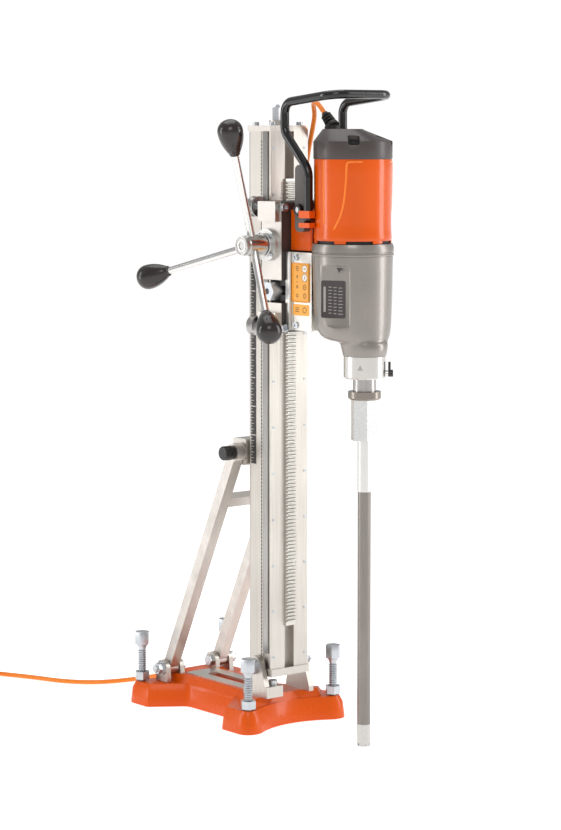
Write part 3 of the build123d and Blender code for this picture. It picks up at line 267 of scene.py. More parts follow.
def turned_piece(name, profile, steps=48):
    """A round piece turned from a profile of (radius, height) pairs, about +Z. It is closed where the radius is 0."""
    outline = bpy.data.meshes.new(name)
    outline.from_pydata([(r, 0, z) for r, z in profile], [(i, i + 1) for i in range(len(profile) - 1)], [])
    piece = bpy.data.objects.new(name, outline)
    bpy.context.scene.collection.objects.link(piece)
    bpy.context.view_layer.objects.active = piece
    piece.select_set(True)
    bpy.ops.object.mode_set(mode="EDIT")
    bpy.ops.mesh.select_all(action="SELECT")
    bpy.ops.mesh.spin(steps=steps, angle=math.tau, center=(0, 0, 0), axis=(0, 0, 1))
    bpy.ops.mesh.select_all(action="SELECT")
    bpy.ops.mesh.remove_doubles(threshold=1e-6)
    bpy.ops.mesh.normals_make_consistent(inside=False)
    bpy.ops.object.mode_set(mode="OBJECT")
    bpy.ops.object.shade_smooth_by_angle(angle=math.radians(40))
    piece.select_set(False)
    return piece


def settle(piece, body, material=None, replaced=(), turn=None):
    """Fixes a finished piece in its place: turned, at the origin, with its finish, on the body that it moves with."""
    if turn is not None:
        piece.data.transform(turn)
    if material is not None:
        piece.data.materials.clear()
        piece.data.materials.append(material)
    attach(piece, body)
    if replaced:
        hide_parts(*replaced)
    return piece


def joined(pieces, name):
    """Makes one piece of several and names it."""
    bpy.ops.object.select_all(action="DESELECT")
    for piece in pieces:
        piece.select_set(True)
    bpy.context.view_layer.objects.active = pieces[0]
    bpy.ops.object.join()
    whole = bpy.context.object
    whole.name = name
    whole.select_set(False)
    return whole


def facing(start, towards):
    """The turn and place that stand a +Z piece at a start point, pointing a given way."""
    return Matrix.Translation(start) @ Vector(towards).to_track_quat("Z", "Y").to_matrix().to_4x4()


cap_top = 1.036
boot_profile = [(0, -0.002), (0.0110, -0.002), (0.0112, 0.002), (0.0104, 0.005), (0.0086, 0.0065)]
for rib in range(3):
    low = 0.0092 + rib * 0.0062
    radius = 0.0100 - rib * 0.0005
    boot_profile += [
        (radius - 0.0026, low - 0.0012), (radius, low), (radius, low + 0.0026), (radius - 0.0026, low + 0.0038),
    ]
boot_profile += [(0.0062, 0.0280), (0.0055, 0.0298), (0.0040, 0.0298), (0.0040, 0.0150), (0, 0.0150)]
boot_heading = Vector((0, 1, 1)).normalized()
boot_foot = Vector(upper_route[0]) - boot_heading * 0.0294
boot_collar = turned_piece("boot_collar", [(0, 0), (0.0125, 0), (0.0125, 0.004), (0.0105, 0.007), (0, 0.0095)], 40)
boot_collar.data.transform(Matrix.Translation((0, -0.262, cap_top)))
boot = turned_piece("boot_ribs", boot_profile, 40)
boot.data.transform(facing(boot_foot, boot_heading))
boot = joined([boot_collar, boot], "lead_boot")
settle(boot, "carriage", black_rubber, ("cord_gland",))

clip_profile = [
    (0.0041, -0.016), (0.0060, -0.016), (0.0066, -0.012), (0.0066, 0.012), (0.0060, 0.016), (0.0041, 0.016),
]
lead_clip = turned_piece("lead_clip", clip_profile, 32)
clip_heading = Vector(lower_route[1]) - Vector(upper_route[-2])
settle(lead_clip, "column", black_rubber, turn=facing(carriage_end, clip_heading))

bpy.ops.mesh.primitive_torus_add(major_radius=0.0150, minor_radius=0.0011, major_segments=36, minor_segments=8)
coil_tie = bpy.context.object
coil_tie.name = "coil_tie"
coil_tie.select_set(False)
for corner in coil_tie.data.vertices:
    x, y, z = corner.co
    corner.co = (x * 0.66, z * 2.6, y * 0.92)
tie_angle = coil_start + math.radians(200)
tie_place = (
    coil_centre.x + coil_mean * math.cos(tie_angle), coil_centre.y + coil_mean * math.sin(tie_angle), 0.0149,
)
bpy.context.view_layer.objects.active = coil_tie
settle(
    coil_tie, "base", black_rubber,
    turn=Matrix.Translation(tie_place) @ Matrix.Rotation(tie_angle, 4, "Z"),
)

nickel = finish_of("nickelled_brass", ("#D8D5CC", "#CFCBC2"), 1, 0.22, 0.002, 0.000004)
plug_profile = [
    (0, -0.022), (0.0052, -0.022), (0.0060, -0.019), (0.0056, -0.017), (0.0068, -0.013), (0.0064, -0.011),
    (0.0080, -0.007), (0.0078, -0.005), (0.0110, 0), (0.0150, 0.004), (0.0160, 0.008), (0.0148, 0.014),
    (0.0150, 0.024), (0.0172, 0.032), (0.0180, 0.038), (0.0180, 0.046), (0.0168, 0.048), (0, 0.048),
]
plug_turn = facing((plug_axis_x, plug_back_y, plug_axis_z), (0, -1, 0))
plug_body = turned_piece("plug_body", plug_profile, 40)
settle(plug_body, "base", black_rubber, turn=plug_turn)
pins = []
for side in (-1, 1):
    pin = turned_piece("pin", [(0, 0.046), (0.0024, 0.046), (0.0024, 0.0655), (0.0014, 0.067), (0, 0.067)], 20)
    pin.data.transform(Matrix.Translation((side * 0.0095, 0, 0)))
    pins.append(pin)
plug_pins = joined(pins, "plug_pins")
settle(plug_pins, "base", nickel, ("plug",), plug_turn)

# ---------------------------------------------------------------- base casting
# Sand-cast aluminium in gloss orange enamel. Its sides have draft, its four feet carry the levelling screws, and
# its middle is raised, with flanks that slope down to the feet. A slot for the anchor stud goes right through.
base_enamel = finish_of(
    "gloss_enamel_on_casting", ("#DA5300", "#DC5501"), 0, 0.30, 0.003, 0.000012, coat=0.12, drift=14.0, ior=1.32
)


def arc_points(start, middle, end, count):
    """Points on the arc through three places, without its two ends."""
    (ax, ay), (bx, by), (cx, cy) = start, middle, end
    d = 2 * (ax * (by - cy) + bx * (cy - ay) + cx * (ay - by))
    ux = ((ax**2 + ay**2) * (by - cy) + (bx**2 + by**2) * (cy - ay) + (cx**2 + cy**2) * (ay - by)) / d
    uy = ((ax**2 + ay**2) * (cx - bx) + (bx**2 + by**2) * (ax - cx) + (cx**2 + cy**2) * (bx - ax)) / d
    first, last = math.atan2(ay - uy, ax - ux), math.atan2(cy - uy, cx - ux)
    radius = math.hypot(ax - ux, ay - uy)
    angles = [first + (last - first) * i / count for i in range(1, count)]
    return [(ux + radius * math.cos(angle), uy + radius * math.sin(angle)) for angle in angles]


def slab(name, outline, low):
    """A flat face on an outline that runs anticlockwise, ready to be drawn up."""
    bpy.ops.mesh.primitive_circle_add(vertices=len(outline), radius=1, fill_type="NGON", location=(0, 0, 0))
    piece = bpy.context.object
    piece.name = name
    for corner, (x, y) in zip(piece.data.vertices, outline):
        corner.co = (x, y, low)
    bpy.ops.object.mode_set(mode="EDIT")
    bpy.ops.mesh.select_all(action="SELECT")
    return piece


def drawn_up(steps):
    """Draws the selected face up by steps of (rise, draft): straight where the draft is 0, else sloping in."""
    for rise, draft in steps:
        if draft:
            bpy.ops.mesh.inset(thickness=draft, depth=rise, use_even_offset=True)
        else:
            bpy.ops.mesh.extrude_region_move(TRANSFORM_OT_translate={"value": (0, 0, rise)})


def cut(piece, cutter, operation="DIFFERENCE"):
    """Cuts or joins one solid with another, which is used up."""
    bpy.context.view_layer.objects.active = piece
    modifier = piece.modifiers.new("cut", "BOOLEAN")
    modifier.operation = operation
    modifier.object = cutter
    modifier.solver = "EXACT"
    bpy.ops.object.modifier_apply(modifier=modifier.name)
    bpy.data.objects.remove(cutter)


def eased(piece, width, segments=2, angle=30):
    """Rounds a piece's edges and smooths what is round."""
    bpy.ops.object.select_all(action="DESELECT")
    bpy.context.view_layer.objects.active = piece
    piece.select_set(True)
    modifier = piece.modifiers.new("ease", "BEVEL")
    modifier.width = width
    modifier.segments = segments
    modifier.limit_method = "ANGLE"
    modifier.angle_limit = math.radians(angle)
    modifier.harden_normals = False
    bpy.ops.object.modifier_apply(modifier=modifier.name)
    bpy.ops.object.shade_smooth_by_angle(angle=math.radians(50))
    piece.select_set(False)
    return piece


front_edge = arc_points((-0.076, -0.170), (0, -0.148), (0.076, -0.170), 14)
back_edge = arc_points((0.076, 0.170), (0, 0.158), (-0.076, 0.170), 14)
side_edge = [
    (0.0760, -0.1700), (0.0835, -0.1737), (0.0920, -0.1750), (0.0985, -0.1748), (0.1060, -0.1723), (0.1122, -0.1668),
    (0.1153, -0.1602), (0.1160, -0.1520), (0.1160, -0.1112), (0.1151, -0.1064), (0.1125, -0.1029), (0.0606, -0.0562),
    (0.0572, -0.0509), (0.0560, -0.0452), (0.0560, 0.0624), (0.0576, 0.0690), (0.0620, 0.0742), (0.1116, 0.1090),
    (0.1149, 0.1125), (0.1160, 0.1172), (0.1160, 0.1520), (0.1153, 0.1602), (0.1122, 0.1668), (0.1060, 0.1723),
    (0.0985, 0.1748), (0.0920, 0.1750), (0.0835, 0.1737), (0.0760, 0.1700),
]
base_outline = front_edge + side_edge + back_edge + [(-x, y) for x, y in reversed(side_edge)]
casting = slab("base_casting", base_outline, 0)
drawn_up([(0.004, 0), (0.024, 0.0030), (0.011, 0.0060)])
bpy.ops.object.mode_set(mode="OBJECT")

deck_outline = [
    (-0.074, -0.149), (-0.030, -0.139), (0.030, -0.139), (0.074, -0.149), (0.094, -0.130), (0.0505, -0.066),
    (0.0505, 0.078), (0.058, 0.102), (0.058, 0.150), (-0.058, 0.150), (-0.058, 0.102), (-0.0505, 0.078),
    (-0.0505, -0.066), (-0.094, -0.130),
]
deck = slab("deck", deck_outline, 0.030)
drawn_up([(0.009, 0), (0.013, 0.008)])
bpy.ops.object.mode_set(mode="OBJECT")
cut(casting, deck, "UNION")
# the deck is cleared round each levelling screw, so that its nut can be turned
foot_out_x = 0.0955
foot_out_y = 0.1545
for foot_x in (-foot_out_x, foot_out_x):
    for foot_y in (-foot_out_y, foot_out_y):
        bpy.ops.mesh.primitive_cylinder_add(vertices=40, radius=0.0225, depth=0.030, location=(foot_x, foot_y, 0.057))
        cut(casting, bpy.context.object)
slot_radius = 0.010
slot_end = 0.066
slot_angles = [math.pi * i / 12 for i in range(13)]
slot_outline = [(slot_radius * math.cos(a), slot_end + slot_radius * math.sin(a)) for a in slot_angles]
slot_outline += [(-x, -y) for x, y in slot_outline]
slot_cutter = slab("slot_cutter", slot_outline, -0.01)
drawn_up([(0.08, 0)])
bpy.ops.object.mode_set(mode="OBJECT")
cut(casting, slot_cutter)
plate_low, plate_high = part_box("anchor_slot_plate")
pocket_outline = [
    (plate_low.x, plate_low.y), (plate_high.x, plate_low.y), (plate_high.x, plate_high.y), (plate_low.x, plate_high.y),
]
pocket_cutter = slab("pocket_cutter", pocket_outline, plate_low.z - 0.0002)
drawn_up([(0.02, 0)])
bpy.ops.object.mode_set(mode="OBJECT")
cut(casting, pocket_cutter)
eased(casting, 0.0022, 3, 28)
settle(casting, "base", base_enamel, ("base_plate",))

# ---------------------------------------------------------------- anchor slot plate, lugs and their bolts
# A machined aluminium plate lets the anchor nut slide. The lugs are cut from thick aluminium and silver anodised;
# bolts, nuts and levelling screws are bright zinc plated steel.
machined_plate = finish_of("milled_anodised_plate", ("#D9D3CB", "#CFC9C1"), 1, 0.38, 0.0012, 0.000006, (1, 0.05, 1))
silver_anodised = finish_of(
    "silver_anodised_aluminium", ("#C9C4BD", "#BFBAB3"), 1, 0.40, 0.0010, 0.000006, (1, 1, 0.04)
)
bright_zinc = finish_of("bright_zinc_on_steel", ("#C9CCCF", "#B9BDC2"), 1, 0.36, 0.0015, 0.00001, drift=40.0)
dress("anchor_slot_plate", machined_plate)
dress("base_lugs", silver_anodised)
dress("base_fasteners", bright_zinc)

# ---------------------------------------------------------------- levelling screws
# Four hexagon-headed screws with a turned neck. The thread is drawn 4 mm apart and deep, coarser than the real
# 2 mm, so that its ridges show.
thread_pitch = 0.004
thread_turns = 22
thread_root = 0.0055
thread_crest = 0.0079
screw_low = 0.007


def levelling_screw(name, x, y):
    """One levelling screw, standing in its foot."""
    profile = [(0, 0.003), (0.0050, 0.003), (0.0068, 0.0065)]
    for turn in range(thread_turns):
        low = screw_low + 0.0006 + turn * thread_pitch
        profile += [
            (thread_root, low), (thread_crest, low + 0.0012), (thread_crest, low + 0.0020), (thread_root, low + 0.0032),
        ]
    profile += [(0.0070, 0.0978), (0.0072, 0.1000), (0.0108, 0.1050), (0.0114, 0.1060), (0, 0.1060)]
    shank = turned_piece(name, profile, 28)
    bpy.ops.mesh.primitive_cylinder_add(vertices=6, radius=0.01385, depth=0.0235, location=(0, 0, 0.11725))
    head = bpy.context.object
    bpy.ops.object.transform_apply(location=True)
    eased(head, 0.0009, 2)
    screw = joined([shank, head], name)
    screw.data.transform(Matrix.Translation((x, y, 0)) @ Matrix.Rotation(math.radians(12), 4, "Z"))
    return screw


for end, foot_y in (("front", -foot_out_y), ("rear", foot_out_y)):
    for side, foot_x in (("left", -foot_out_x), ("right", foot_out_x)):
        screw = levelling_screw(f"levelling_thread_{end}_{side}", foot_x, foot_y)
        settle(screw, f"levelling_{end}_{side}", bright_zinc, (f"levelling_screw_{end}_{side}",))

# ---------------------------------------------------------------- column
# An extruded aluminium column in satin silver anodising, whose draw lines run its whole height. Hardened steel
# guides are let into its sides, plain wear plates are screwed to its front, and the rack lies between them.
extruded = finish_of("satin_anodised_extrusion", ("#C4BFB8", "#B6B1AA"), 1, 0.42, 0.0010, 0.000008, (1, 1, 0.004))
wear_face = finish_of("plain_anodised_wear_plate", ("#CDC8C1", "#C2BDB6"), 1, 0.46, 0.0012, 0.000006, (1, 1, 0.01))
ground_steel = finish_of("ground_steel", ("#B5B3B0", "#A3A09D"), 1, 0.30, 0.0010, 0.000004, (1, 1, 0.02))
zinc_rack = finish_of("zinc_plated_rack", ("#D6D4CE", "#C8C5BE"), 1, 0.40, 0.0040, 0.000008)
dress("column_profile", extruded)
dress("column_wear_plates", wear_face)
dress("column_guides", ground_steel)
dress("rack", zinc_rack)
dress("column_screws", bright_zinc)
dress("column_top_plate", silver_anodised)
dress("column_foot", silver_anodised)
dress("jack_spindle", bright_zinc)

# a perforated sealing strip in each side groove: a row of short dark slots
dark_strip = finish_of("black_nylon_strip", ("#2A2726", "#353130"), 0, 0.55, 0.002, 0.0001)
dash_pitch = 0.0064
dash_low, dash_high = 0.112, 1.024
for side, side_x in (("left", -1), ("right", 1)):
    bpy.ops.mesh.primitive_cube_add(size=1, location=(side_x * 0.0414, -0.124, dash_low))
    dash = bpy.context.object
    dash.scale = (0.0009, 0.0022, 0.0038)
    bpy.ops.object.transform_apply(location=True, scale=True)
    eased(dash, 0.0003, 1)
    row = dash.modifiers.new("row", "ARRAY")
    row.use_relative_offset = False
    row.use_constant_offset = True
    row.constant_offset_displace = (0, 0, dash_pitch)
    row.count = int((dash_high - dash_low) / dash_pitch)
    bpy.context.view_layer.objects.active = dash
    bpy.ops.object.modifier_apply(modifier=row.name)
    dash.name = f"seal_slots_{side}"
    settle(dash, "column", dark_strip)

# ---------------------------------------------------------------- depth scale
# A black printed tape on the crank side: a short line each 5 mm, a longer one each 10 mm, a full one each 50 mm.
tape_black = finish_of("black_printed_tape", ("#242221", "#2D2A29"), 0, 0.40, 0.002, 0.00005)
tape_white = finish_of("white_tape_print", ("#CFCBC4", "#C4C0B9"), 0, 0.50, 0.002, 0.00005)
dress("ruler_tape", tape_black)
tape_low, tape_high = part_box("ruler_tape")
mark_step = 0.005
marks = []
for i in range(1, int((tape_high.z - tape_low.z) / mark_step)):
    reach = 0.0118 if i % 10 == 0 else 0.0070 if i % 2 == 0 else 0.0035
    bpy.ops.mesh.primitive_cube_add(
        size=1, location=(tape_low.x - 0.00005, tape_high.y - 0.0004 - reach / 2, tape_low.z + i * mark_step)
    )
    mark = bpy.context.object
    mark.scale = (0.0003, reach, 0.0014 if i % 10 == 0 else 0.0009)
    bpy.ops.object.transform_apply(location=True, scale=True)
    marks.append(mark)
tape_marks = joined(marks, "tape_marks")
settle(tape_marks, "column", tape_white)

# ---------------------------------------------------------------- rear struts and clamp
# Square aluminium tube, welded to a cross tube and bolted to the clamp, which a fluted black knob tightens.
strut_tube = finish_of("anodised_square_tube", ("#D0CAC4", "#C2BCB6"), 1, 0.40, 0.0010, 0.000008, (1, 0.05, 0.05))
black_knob = finish_of("black_moulded_nylon", ("#1C1A19", "#272322"), 0, 0.34, 0.0012, 0.00006, coat=0.2)
dress("strut_frame", strut_tube)
dress("clamp_block", silver_anodised)
dress("clamp_bolt", bright_zinc)
dress("clamp_knob", black_knob)
dress("clamp_slider", ground_steel)

# ---------------------------------------------------------------- carriage
# A cast aluminium carriage of bright milled aluminium. Its front, ears and far side are drawn dark grey, which is
# painted shade, and only its crank-side faces keep the bright colour. Four vee rollers run on the column's guides, on
# axles screwed in from the front.
# painted shade: dark grey everywhere except the crank-side faces between these x places, which get the bright colour
# and metal
carriage_painted_shade_finish = finish_of("carriage_painted_shade_and_bright_side", ("#3A3533", "#332F2D"), 0.0, 0.42, 0.0020, 0.00008, coat=0.15)
bright_side_mask = two_tone(carriage_painted_shade_finish, "X", (-0.0765, -0.0637), "#C9C4BE")
carriage_painted_shade_finish.node_tree.links.new(bright_side_mask, carriage_painted_shade_finish.node_tree.nodes["Principled BSDF"].inputs["Metallic"])
dress("carriage_body", carriage_painted_shade_finish)
dress("roller_axles", bright_zinc)
for place in ("upper_left", "upper_right", "lower_left", "lower_right"):
    dress(f"guide_roller_{place}", ground_steel)
dark_screw = finish_of("blackened_screw", ("#4A4543", "#3E3A38"), 1, 0.38, 0.0020, 0.000008)
dress("carriage_screws", bright_zinc)
dress("clamp_screw", bright_zinc)
dress("bearings", ground_steel)

# ---------------------------------------------------------------- feed crank
# Three chromed spokes screwed into a turned hub, each with a pear-shaped knob of glossy dark phenolic. The hub
# runs in a flanged bearing on the carriage and has a retaining ring and a socket in its end.
turned_steel = finish_of("turned_bright_steel", ("#D2D1CE", "#C4C3C0"), 1, 0.42, 0.0008, 0.000006, (0.05, 1, 1))
chrome = finish_of("chromed_rod", ("#DDDCDA", "#D2D1CF"), 1, 0.20, 0.0030, 0.000004)
phenolic = finish_of("dark_phenolic_knob", ("#1E1816", "#241D1B"), 0, 0.26, 0.0040, 0.00001, coat=0.3, ior=1.45)
dress("bearing_flange", turned_steel)
dress("pinion_shaft", ground_steel)
dress("crank_arms", chrome)
crank_y, crank_z = -0.173, 0.840
crank_middle = Vector((-0.0985, crank_y, crank_z))
spoke_out, spoke_round = 0.090, 0.215  # a spoke's end, outwards along the shaft and away from it
knob_reach = 0.062  # from a knob's foot to its far end
knob_profile = [(0, -0.0010), (0.0084, -0.0010), (0.0092, 0.0002), (0.0094, 0.0020)]
for share in range(1, 10):
    t = share / 10
    knob_profile.append((0.0094 + 0.0121 * (1 - (1 - t) ** 2), 0.002 + 0.040 * t))
for step in range(0, 13):
    angle = math.pi / 2 * step / 12
    knob_profile.append((0.0215 * math.cos(angle) ** 0.9 if step < 12 else 0, 0.042 + 0.0198 * math.sin(angle)))
spoke_length = math.hypot(spoke_out, spoke_round)
knobs = []
for i in range(3):
    around = math.radians(12.5 - 120 * i)
    direction = Vector((-spoke_out, -spoke_round * math.sin(around), spoke_round * math.cos(around))).normalized()
    knob = turned_piece("knob", knob_profile, 40)
    knob.data.transform(facing(crank_middle + direction * (spoke_length - knob_reach), direction))
    knobs.append(knob)
settle(joined(knobs, "pear_knobs"), "crank", phenolic, ("crank_knobs",))

hub_end = (-0.1230, crank_y, crank_z)
hub_profile = [
    (0.0070, 0.0002), (0.0070, 0.0016), (0.0100, 0.0022), (0.0118, 0.0016), (0.0124, 0.0004), (0.0140, 0.0004),
    (0.0148, 0.0020), (0.0160, 0.0020), (0.0164, 0.0010), (0.0164, -0.0046), (0.0160, -0.0052), (0.0070, -0.0052),
    (0.0070, 0.0002),
]
hub_ring = turned_piece("hub_retaining_ring", hub_profile, 48)
settle(hub_ring, "crank", turned_steel, turn=facing(hub_end, (-1, 0, 0)))
hub_socket = turned_piece("hub_socket", [(0, -0.003), (0.0074, -0.003), (0.0074, -0.0001), (0, -0.0001)], 24)
settle(hub_socket, "crank", dark_screw, turn=facing(hub_end, (-1, 0, 0)))

# ---------------------------------------------------------------- adaptor block and its labels
# A bright milled aluminium block slides into the carriage and holds the motor. Two yellow polyester labels carry
# plain discs and bars that stand for its instructions.
milled_bright = finish_of("bright_milled_aluminium", ("#D6D2CC", "#CBC7C1"), 1, 0.34, 0.0016, 0.00001, (1, 1, 0.08))
dress("adaptor_block", milled_bright)
dress("motor_mount_plate", base_enamel)
label_yellow = finish_of("yellow_polyester_label", ("#F3A93A", "#EEA232"), 0, 0.36, 0.0020, 0.00003, coat=0.3)
label_ink = finish_of("brown_label_ink", ("#8A5A1E", "#7E5119"), 0, 0.50, 0.0020, 0.00002)
label_white = finish_of("white_label_ink", ("#EDEAE4", "#E4E0D9"), 0, 0.45, 0.0020, 0.00002)
block_side = -0.0500
label_y = -0.2415
sign_y, text_y = -0.2510, -0.2315  # the labels' two columns


def label_plate(name, centre, size, thickness, corner):
    """A thin plate with round corners, stuck to the crank side of what is behind it."""
    x, y, z = centre
    bpy.ops.mesh.primitive_cube_add(size=1, location=(x - thickness / 2, y, z))
    plate = bpy.context.object
    plate.scale = (thickness, size[0], size[1])
    bpy.ops.object.transform_apply(location=True, scale=True)
    bpy.ops.object.mode_set(mode="EDIT")
    bpy.ops.mesh.select_all(action="DESELECT")
    bpy.ops.object.mode_set(mode="OBJECT")
    for edge in plate.data.edges:
        a, b = (plate.data.vertices[v].co for v in edge.vertices)
        edge.select = abs(a.x - b.x) > thickness / 2
    bpy.ops.object.mode_set(mode="EDIT")
    bpy.ops.mesh.select_mode(type="EDGE")
    bpy.ops.mesh.bevel(offset=corner, segments=5, affect="EDGES")
    bpy.ops.object.mode_set(mode="OBJECT")
    plate.name = name
    plate.select_set(False)
    return plate


upper_label = label_plate("instruction_label", (block_side, label_y, 0.7780), (0.043, 0.066), 0.0003, 0.003)
lower_label = label_plate("service_label", (block_side, label_y, 0.7320), (0.043, 0.019), 0.0003, 0.003)
for label in (upper_label, lower_label):
    settle(label, "carriage", label_yellow)
ink_x = block_side - 0.0003
discs, rings, bars = [], [], []
for z, radius in ((0.8015, 0.0060), (0.7865, 0.0060)):
    disc = turned_piece("disc", [(0, 0), (radius, 0), (radius, 0.00012), (0, 0.00012)], 28)
    disc.data.transform(facing((ink_x, sign_y, z), (-1, 0, 0)))
    discs.append(disc)
    outer = radius + 0.0009
    rim = turned_piece("rim", [(radius, 0), (outer, 0), (outer, 0.00014), (radius, 0.00014), (radius, 0)], 28)
    rim.data.transform(facing((ink_x, sign_y, z), (-1, 0, 0)))
    rings.append(rim)
for y, z, radius in (
    (sign_y, 0.7705, 0.0046), (sign_y, 0.7560, 0.0046), (text_y, 0.7710, 0.0028), (sign_y, 0.7320, 0.0052),
    (text_y, 0.7560, 0.0032),
):
    inner = radius - 0.0014
    rim = turned_piece("rim", [(inner, 0), (radius, 0), (radius, 0.00014), (inner, 0.00014), (inner, 0)], 28)
    rim.data.transform(facing((ink_x, y, z), (-1, 0, 0)))
    rings.append(rim)
for y, z, wide, high in (
    (text_y, 0.8045, 0.0080, 0.0013), (text_y, 0.8015, 0.0080, 0.0013), (text_y, 0.7985, 0.0060, 0.0013),
    (text_y, 0.7880, 0.0030, 0.0052), (sign_y, 0.8015, 0.0054, 0.0015), (sign_y, 0.7865, 0.0015, 0.0054),
    (sign_y, 0.7705, 0.0036, 0.0011), (sign_y, 0.7560, 0.0011, 0.0036), (text_y, 0.7350, 0.0090, 0.0014),
    (text_y, 0.7320, 0.0090, 0.0014), (text_y, 0.7290, 0.0090, 0.0014), (text_y, 0.7790, 0.0050, 0.0011),
):
    bars.append(label_plate("bar", (ink_x, y, z), (wide, high), 0.00014, 0.0003))
settle(joined(discs, "label_discs"), "carriage", label_white)
settle(joined(rings + bars, "label_marks"), "carriage", label_ink)

# ---------------------------------------------------------------- gearbox housing
# Die-cast aluminium in warm grey lacquer. Round where the motor joins it, it narrows to a shoulder and then to the
# spindle's neck. Its crank side has a sunk panel with the rating plate.
housing_lacquer = finish_of(
    "warm_grey_lacquered_casting", ("#948D87", "#8A847E"), 0.55, 0.36, 0.0016, 0.00008, coat=0.35, drift=16.0
)
motor_y = -0.316
ring_corners = 72


def lofted(name, levels):
    """A closed shape drawn down through round levels of (height, middle y, half width x, half depth y)."""
    first = levels[0]
    bpy.ops.mesh.primitive_circle_add(vertices=ring_corners, radius=1, fill_type="NGON", location=(0, 0, 0))
    piece = bpy.context.object
    piece.name = name
    for corner in piece.data.vertices:
        corner.co = (corner.co.x * first[2], first[1] + corner.co.y * first[3], first[0])
    bpy.ops.object.mode_set(mode="EDIT")
    bpy.ops.mesh.select_all(action="SELECT")
    for before, after in zip(levels, levels[1:]):
        bpy.ops.mesh.extrude_region_move(
            TRANSFORM_OT_translate={"value": (0, after[1] - before[1], after[0] - before[0])}
        )
        bpy.ops.transform.resize(
            value=(after[2] / before[2], after[3] / before[3], 1), center_override=(0, after[1], after[0])
        )
    bpy.ops.mesh.select_all(action="SELECT")
    bpy.ops.mesh.normals_make_consistent(inside=False)
    bpy.ops.object.mode_set(mode="OBJECT")
    return piece


housing = lofted("gearbox_housing", [
    (0.8260, motor_y, 0.0675, 0.0675), (0.8235, motor_y, 0.0675, 0.0675), (0.8150, motor_y, 0.0672, 0.0672),
    (0.7900, motor_y, 0.0668, 0.0668), (0.7600, motor_y - 0.0003, 0.0660, 0.0662),
    (0.7300, motor_y - 0.0008, 0.0648, 0.0650),
    (0.7120, -0.3180, 0.0632, 0.0636), (0.7000, -0.3200, 0.0608, 0.0612), (0.6930, -0.3225, 0.0580, 0.0584),
    (0.6880, -0.3262, 0.0540, 0.0546), (0.6850, -0.3315, 0.0490, 0.0494), (0.6832, -0.3380, 0.0442, 0.0442),
    (0.6815, -0.3425, 0.0412, 0.0410), (0.6780, -0.3455, 0.0396, 0.0396), (0.6700, -0.3468, 0.0384, 0.0384),
    (0.6600, -0.3470, 0.0362, 0.0362), (0.6592, -0.3470, 0.0350, 0.0350),
])
# a square neck behind it, by which it is screwed to the mounting plate
neck_back_y = -0.2702
bpy.ops.mesh.primitive_cube_add(size=1, location=(0, (motor_y + neck_back_y) / 2, 0.7625))
neck_block = bpy.context.object
neck_block.scale = (0.0965, abs(motor_y - neck_back_y), 0.127)
bpy.ops.object.transform_apply(location=True, scale=True)
eased(neck_block, 0.004, 3)
cut(housing, neck_block, "UNION")
# the sunk panel, cut with a rounded block that leaves a flat floor and a sloped border
panel_turn = Matrix.Translation((0, motor_y, 0)) @ Matrix.Rotation(math.radians(25), 4, "Z")
bpy.ops.mesh.primitive_cube_add(size=1, location=(-0.0730, 0.0043, 0.7590))
panel_cutter = bpy.context.object
panel_cutter.scale = (0.026, 0.0635, 0.106)
bpy.ops.object.transform_apply(location=True, scale=True)
eased(panel_cutter, 0.008, 5)
panel_cutter.data.transform(panel_turn)
cut(housing, panel_cutter)
eased(housing, 0.0010, 2, 38)
settle(housing, "carriage", housing_lacquer, ("gear_housing",))

cover = turned_piece("gearbox_cover", [
    (0.0600, 0.8455), (0.0600, 0.8262), (0.0690, 0.8262), (0.0694, 0.8285), (0.0678, 0.8296), (0.0678, 0.8312),
    (0.0690, 0.8322), (0.0688, 0.8400), (0.0668, 0.8455), (0.0600, 0.8455),
], 72)
settle(cover, "carriage", housing_lacquer, ("gear_cover",), Matrix.Translation((0, motor_y, 0)))

plate_black = finish_of("black_rating_plate", ("#3B3534", "#443D3C"), 0, 0.36, 0.0020, 0.00003, coat=0.2)
plate_print = finish_of("grey_plate_print", ("#A8A29C", "#9A948E"), 0, 0.45, 0.0020, 0.00002)
panel_floor = -0.0600
plate_y = 0.0080
rating_plate = label_plate("rating_plate", (panel_floor, plate_y, 0.7550), (0.044, 0.062), 0.0006, 0.003)
settle(rating_plate, "carriage", plate_black, turn=panel_turn)
lines = []
for row in range(9):
    for column, (start, wide) in enumerate(((-0.0175, 0.0085), (-0.0065, 0.0060), (0.0020, 0.0070))):
        lines.append(label_plate(
            "line", (panel_floor - 0.0006, plate_y + start + wide / 2, 0.7310 + row * 0.0054 + 0.0006 * column),
            (wide * (1 - 0.12 * ((row + column) % 3)), 0.0011), 0.0001, 0.0002,
        ))
lines.append(label_plate("line", (panel_floor - 0.0006, 0.0235, 0.7550), (0.0042, 0.042), 0.0001, 0.001))
settle(joined(lines, "rating_plate_lines"), "carriage", plate_print, turn=panel_turn)

# a small engraved arrow for the turning direction
bpy.ops.mesh.primitive_cylinder_add(vertices=3, radius=0.0058, depth=0.0016, location=(0, 0, 0))
arrow = bpy.context.object
arrow.name = "turning_arrow"
arrow.select_set(False)
arrow.data.transform(
    Matrix.Translation((0, motor_y, 0.8050)) @ Matrix.Rotation(math.radians(-150), 4, "Z")
    @ Matrix.Translation((0.0668, 0, 0)) @ Matrix.Rotation(math.radians(90), 4, "Y")
    @ Matrix.Rotation(math.radians(25), 4, "Z")
)
eased(arrow, 0.0003, 1)
settle(arrow, "carriage", plate_black)

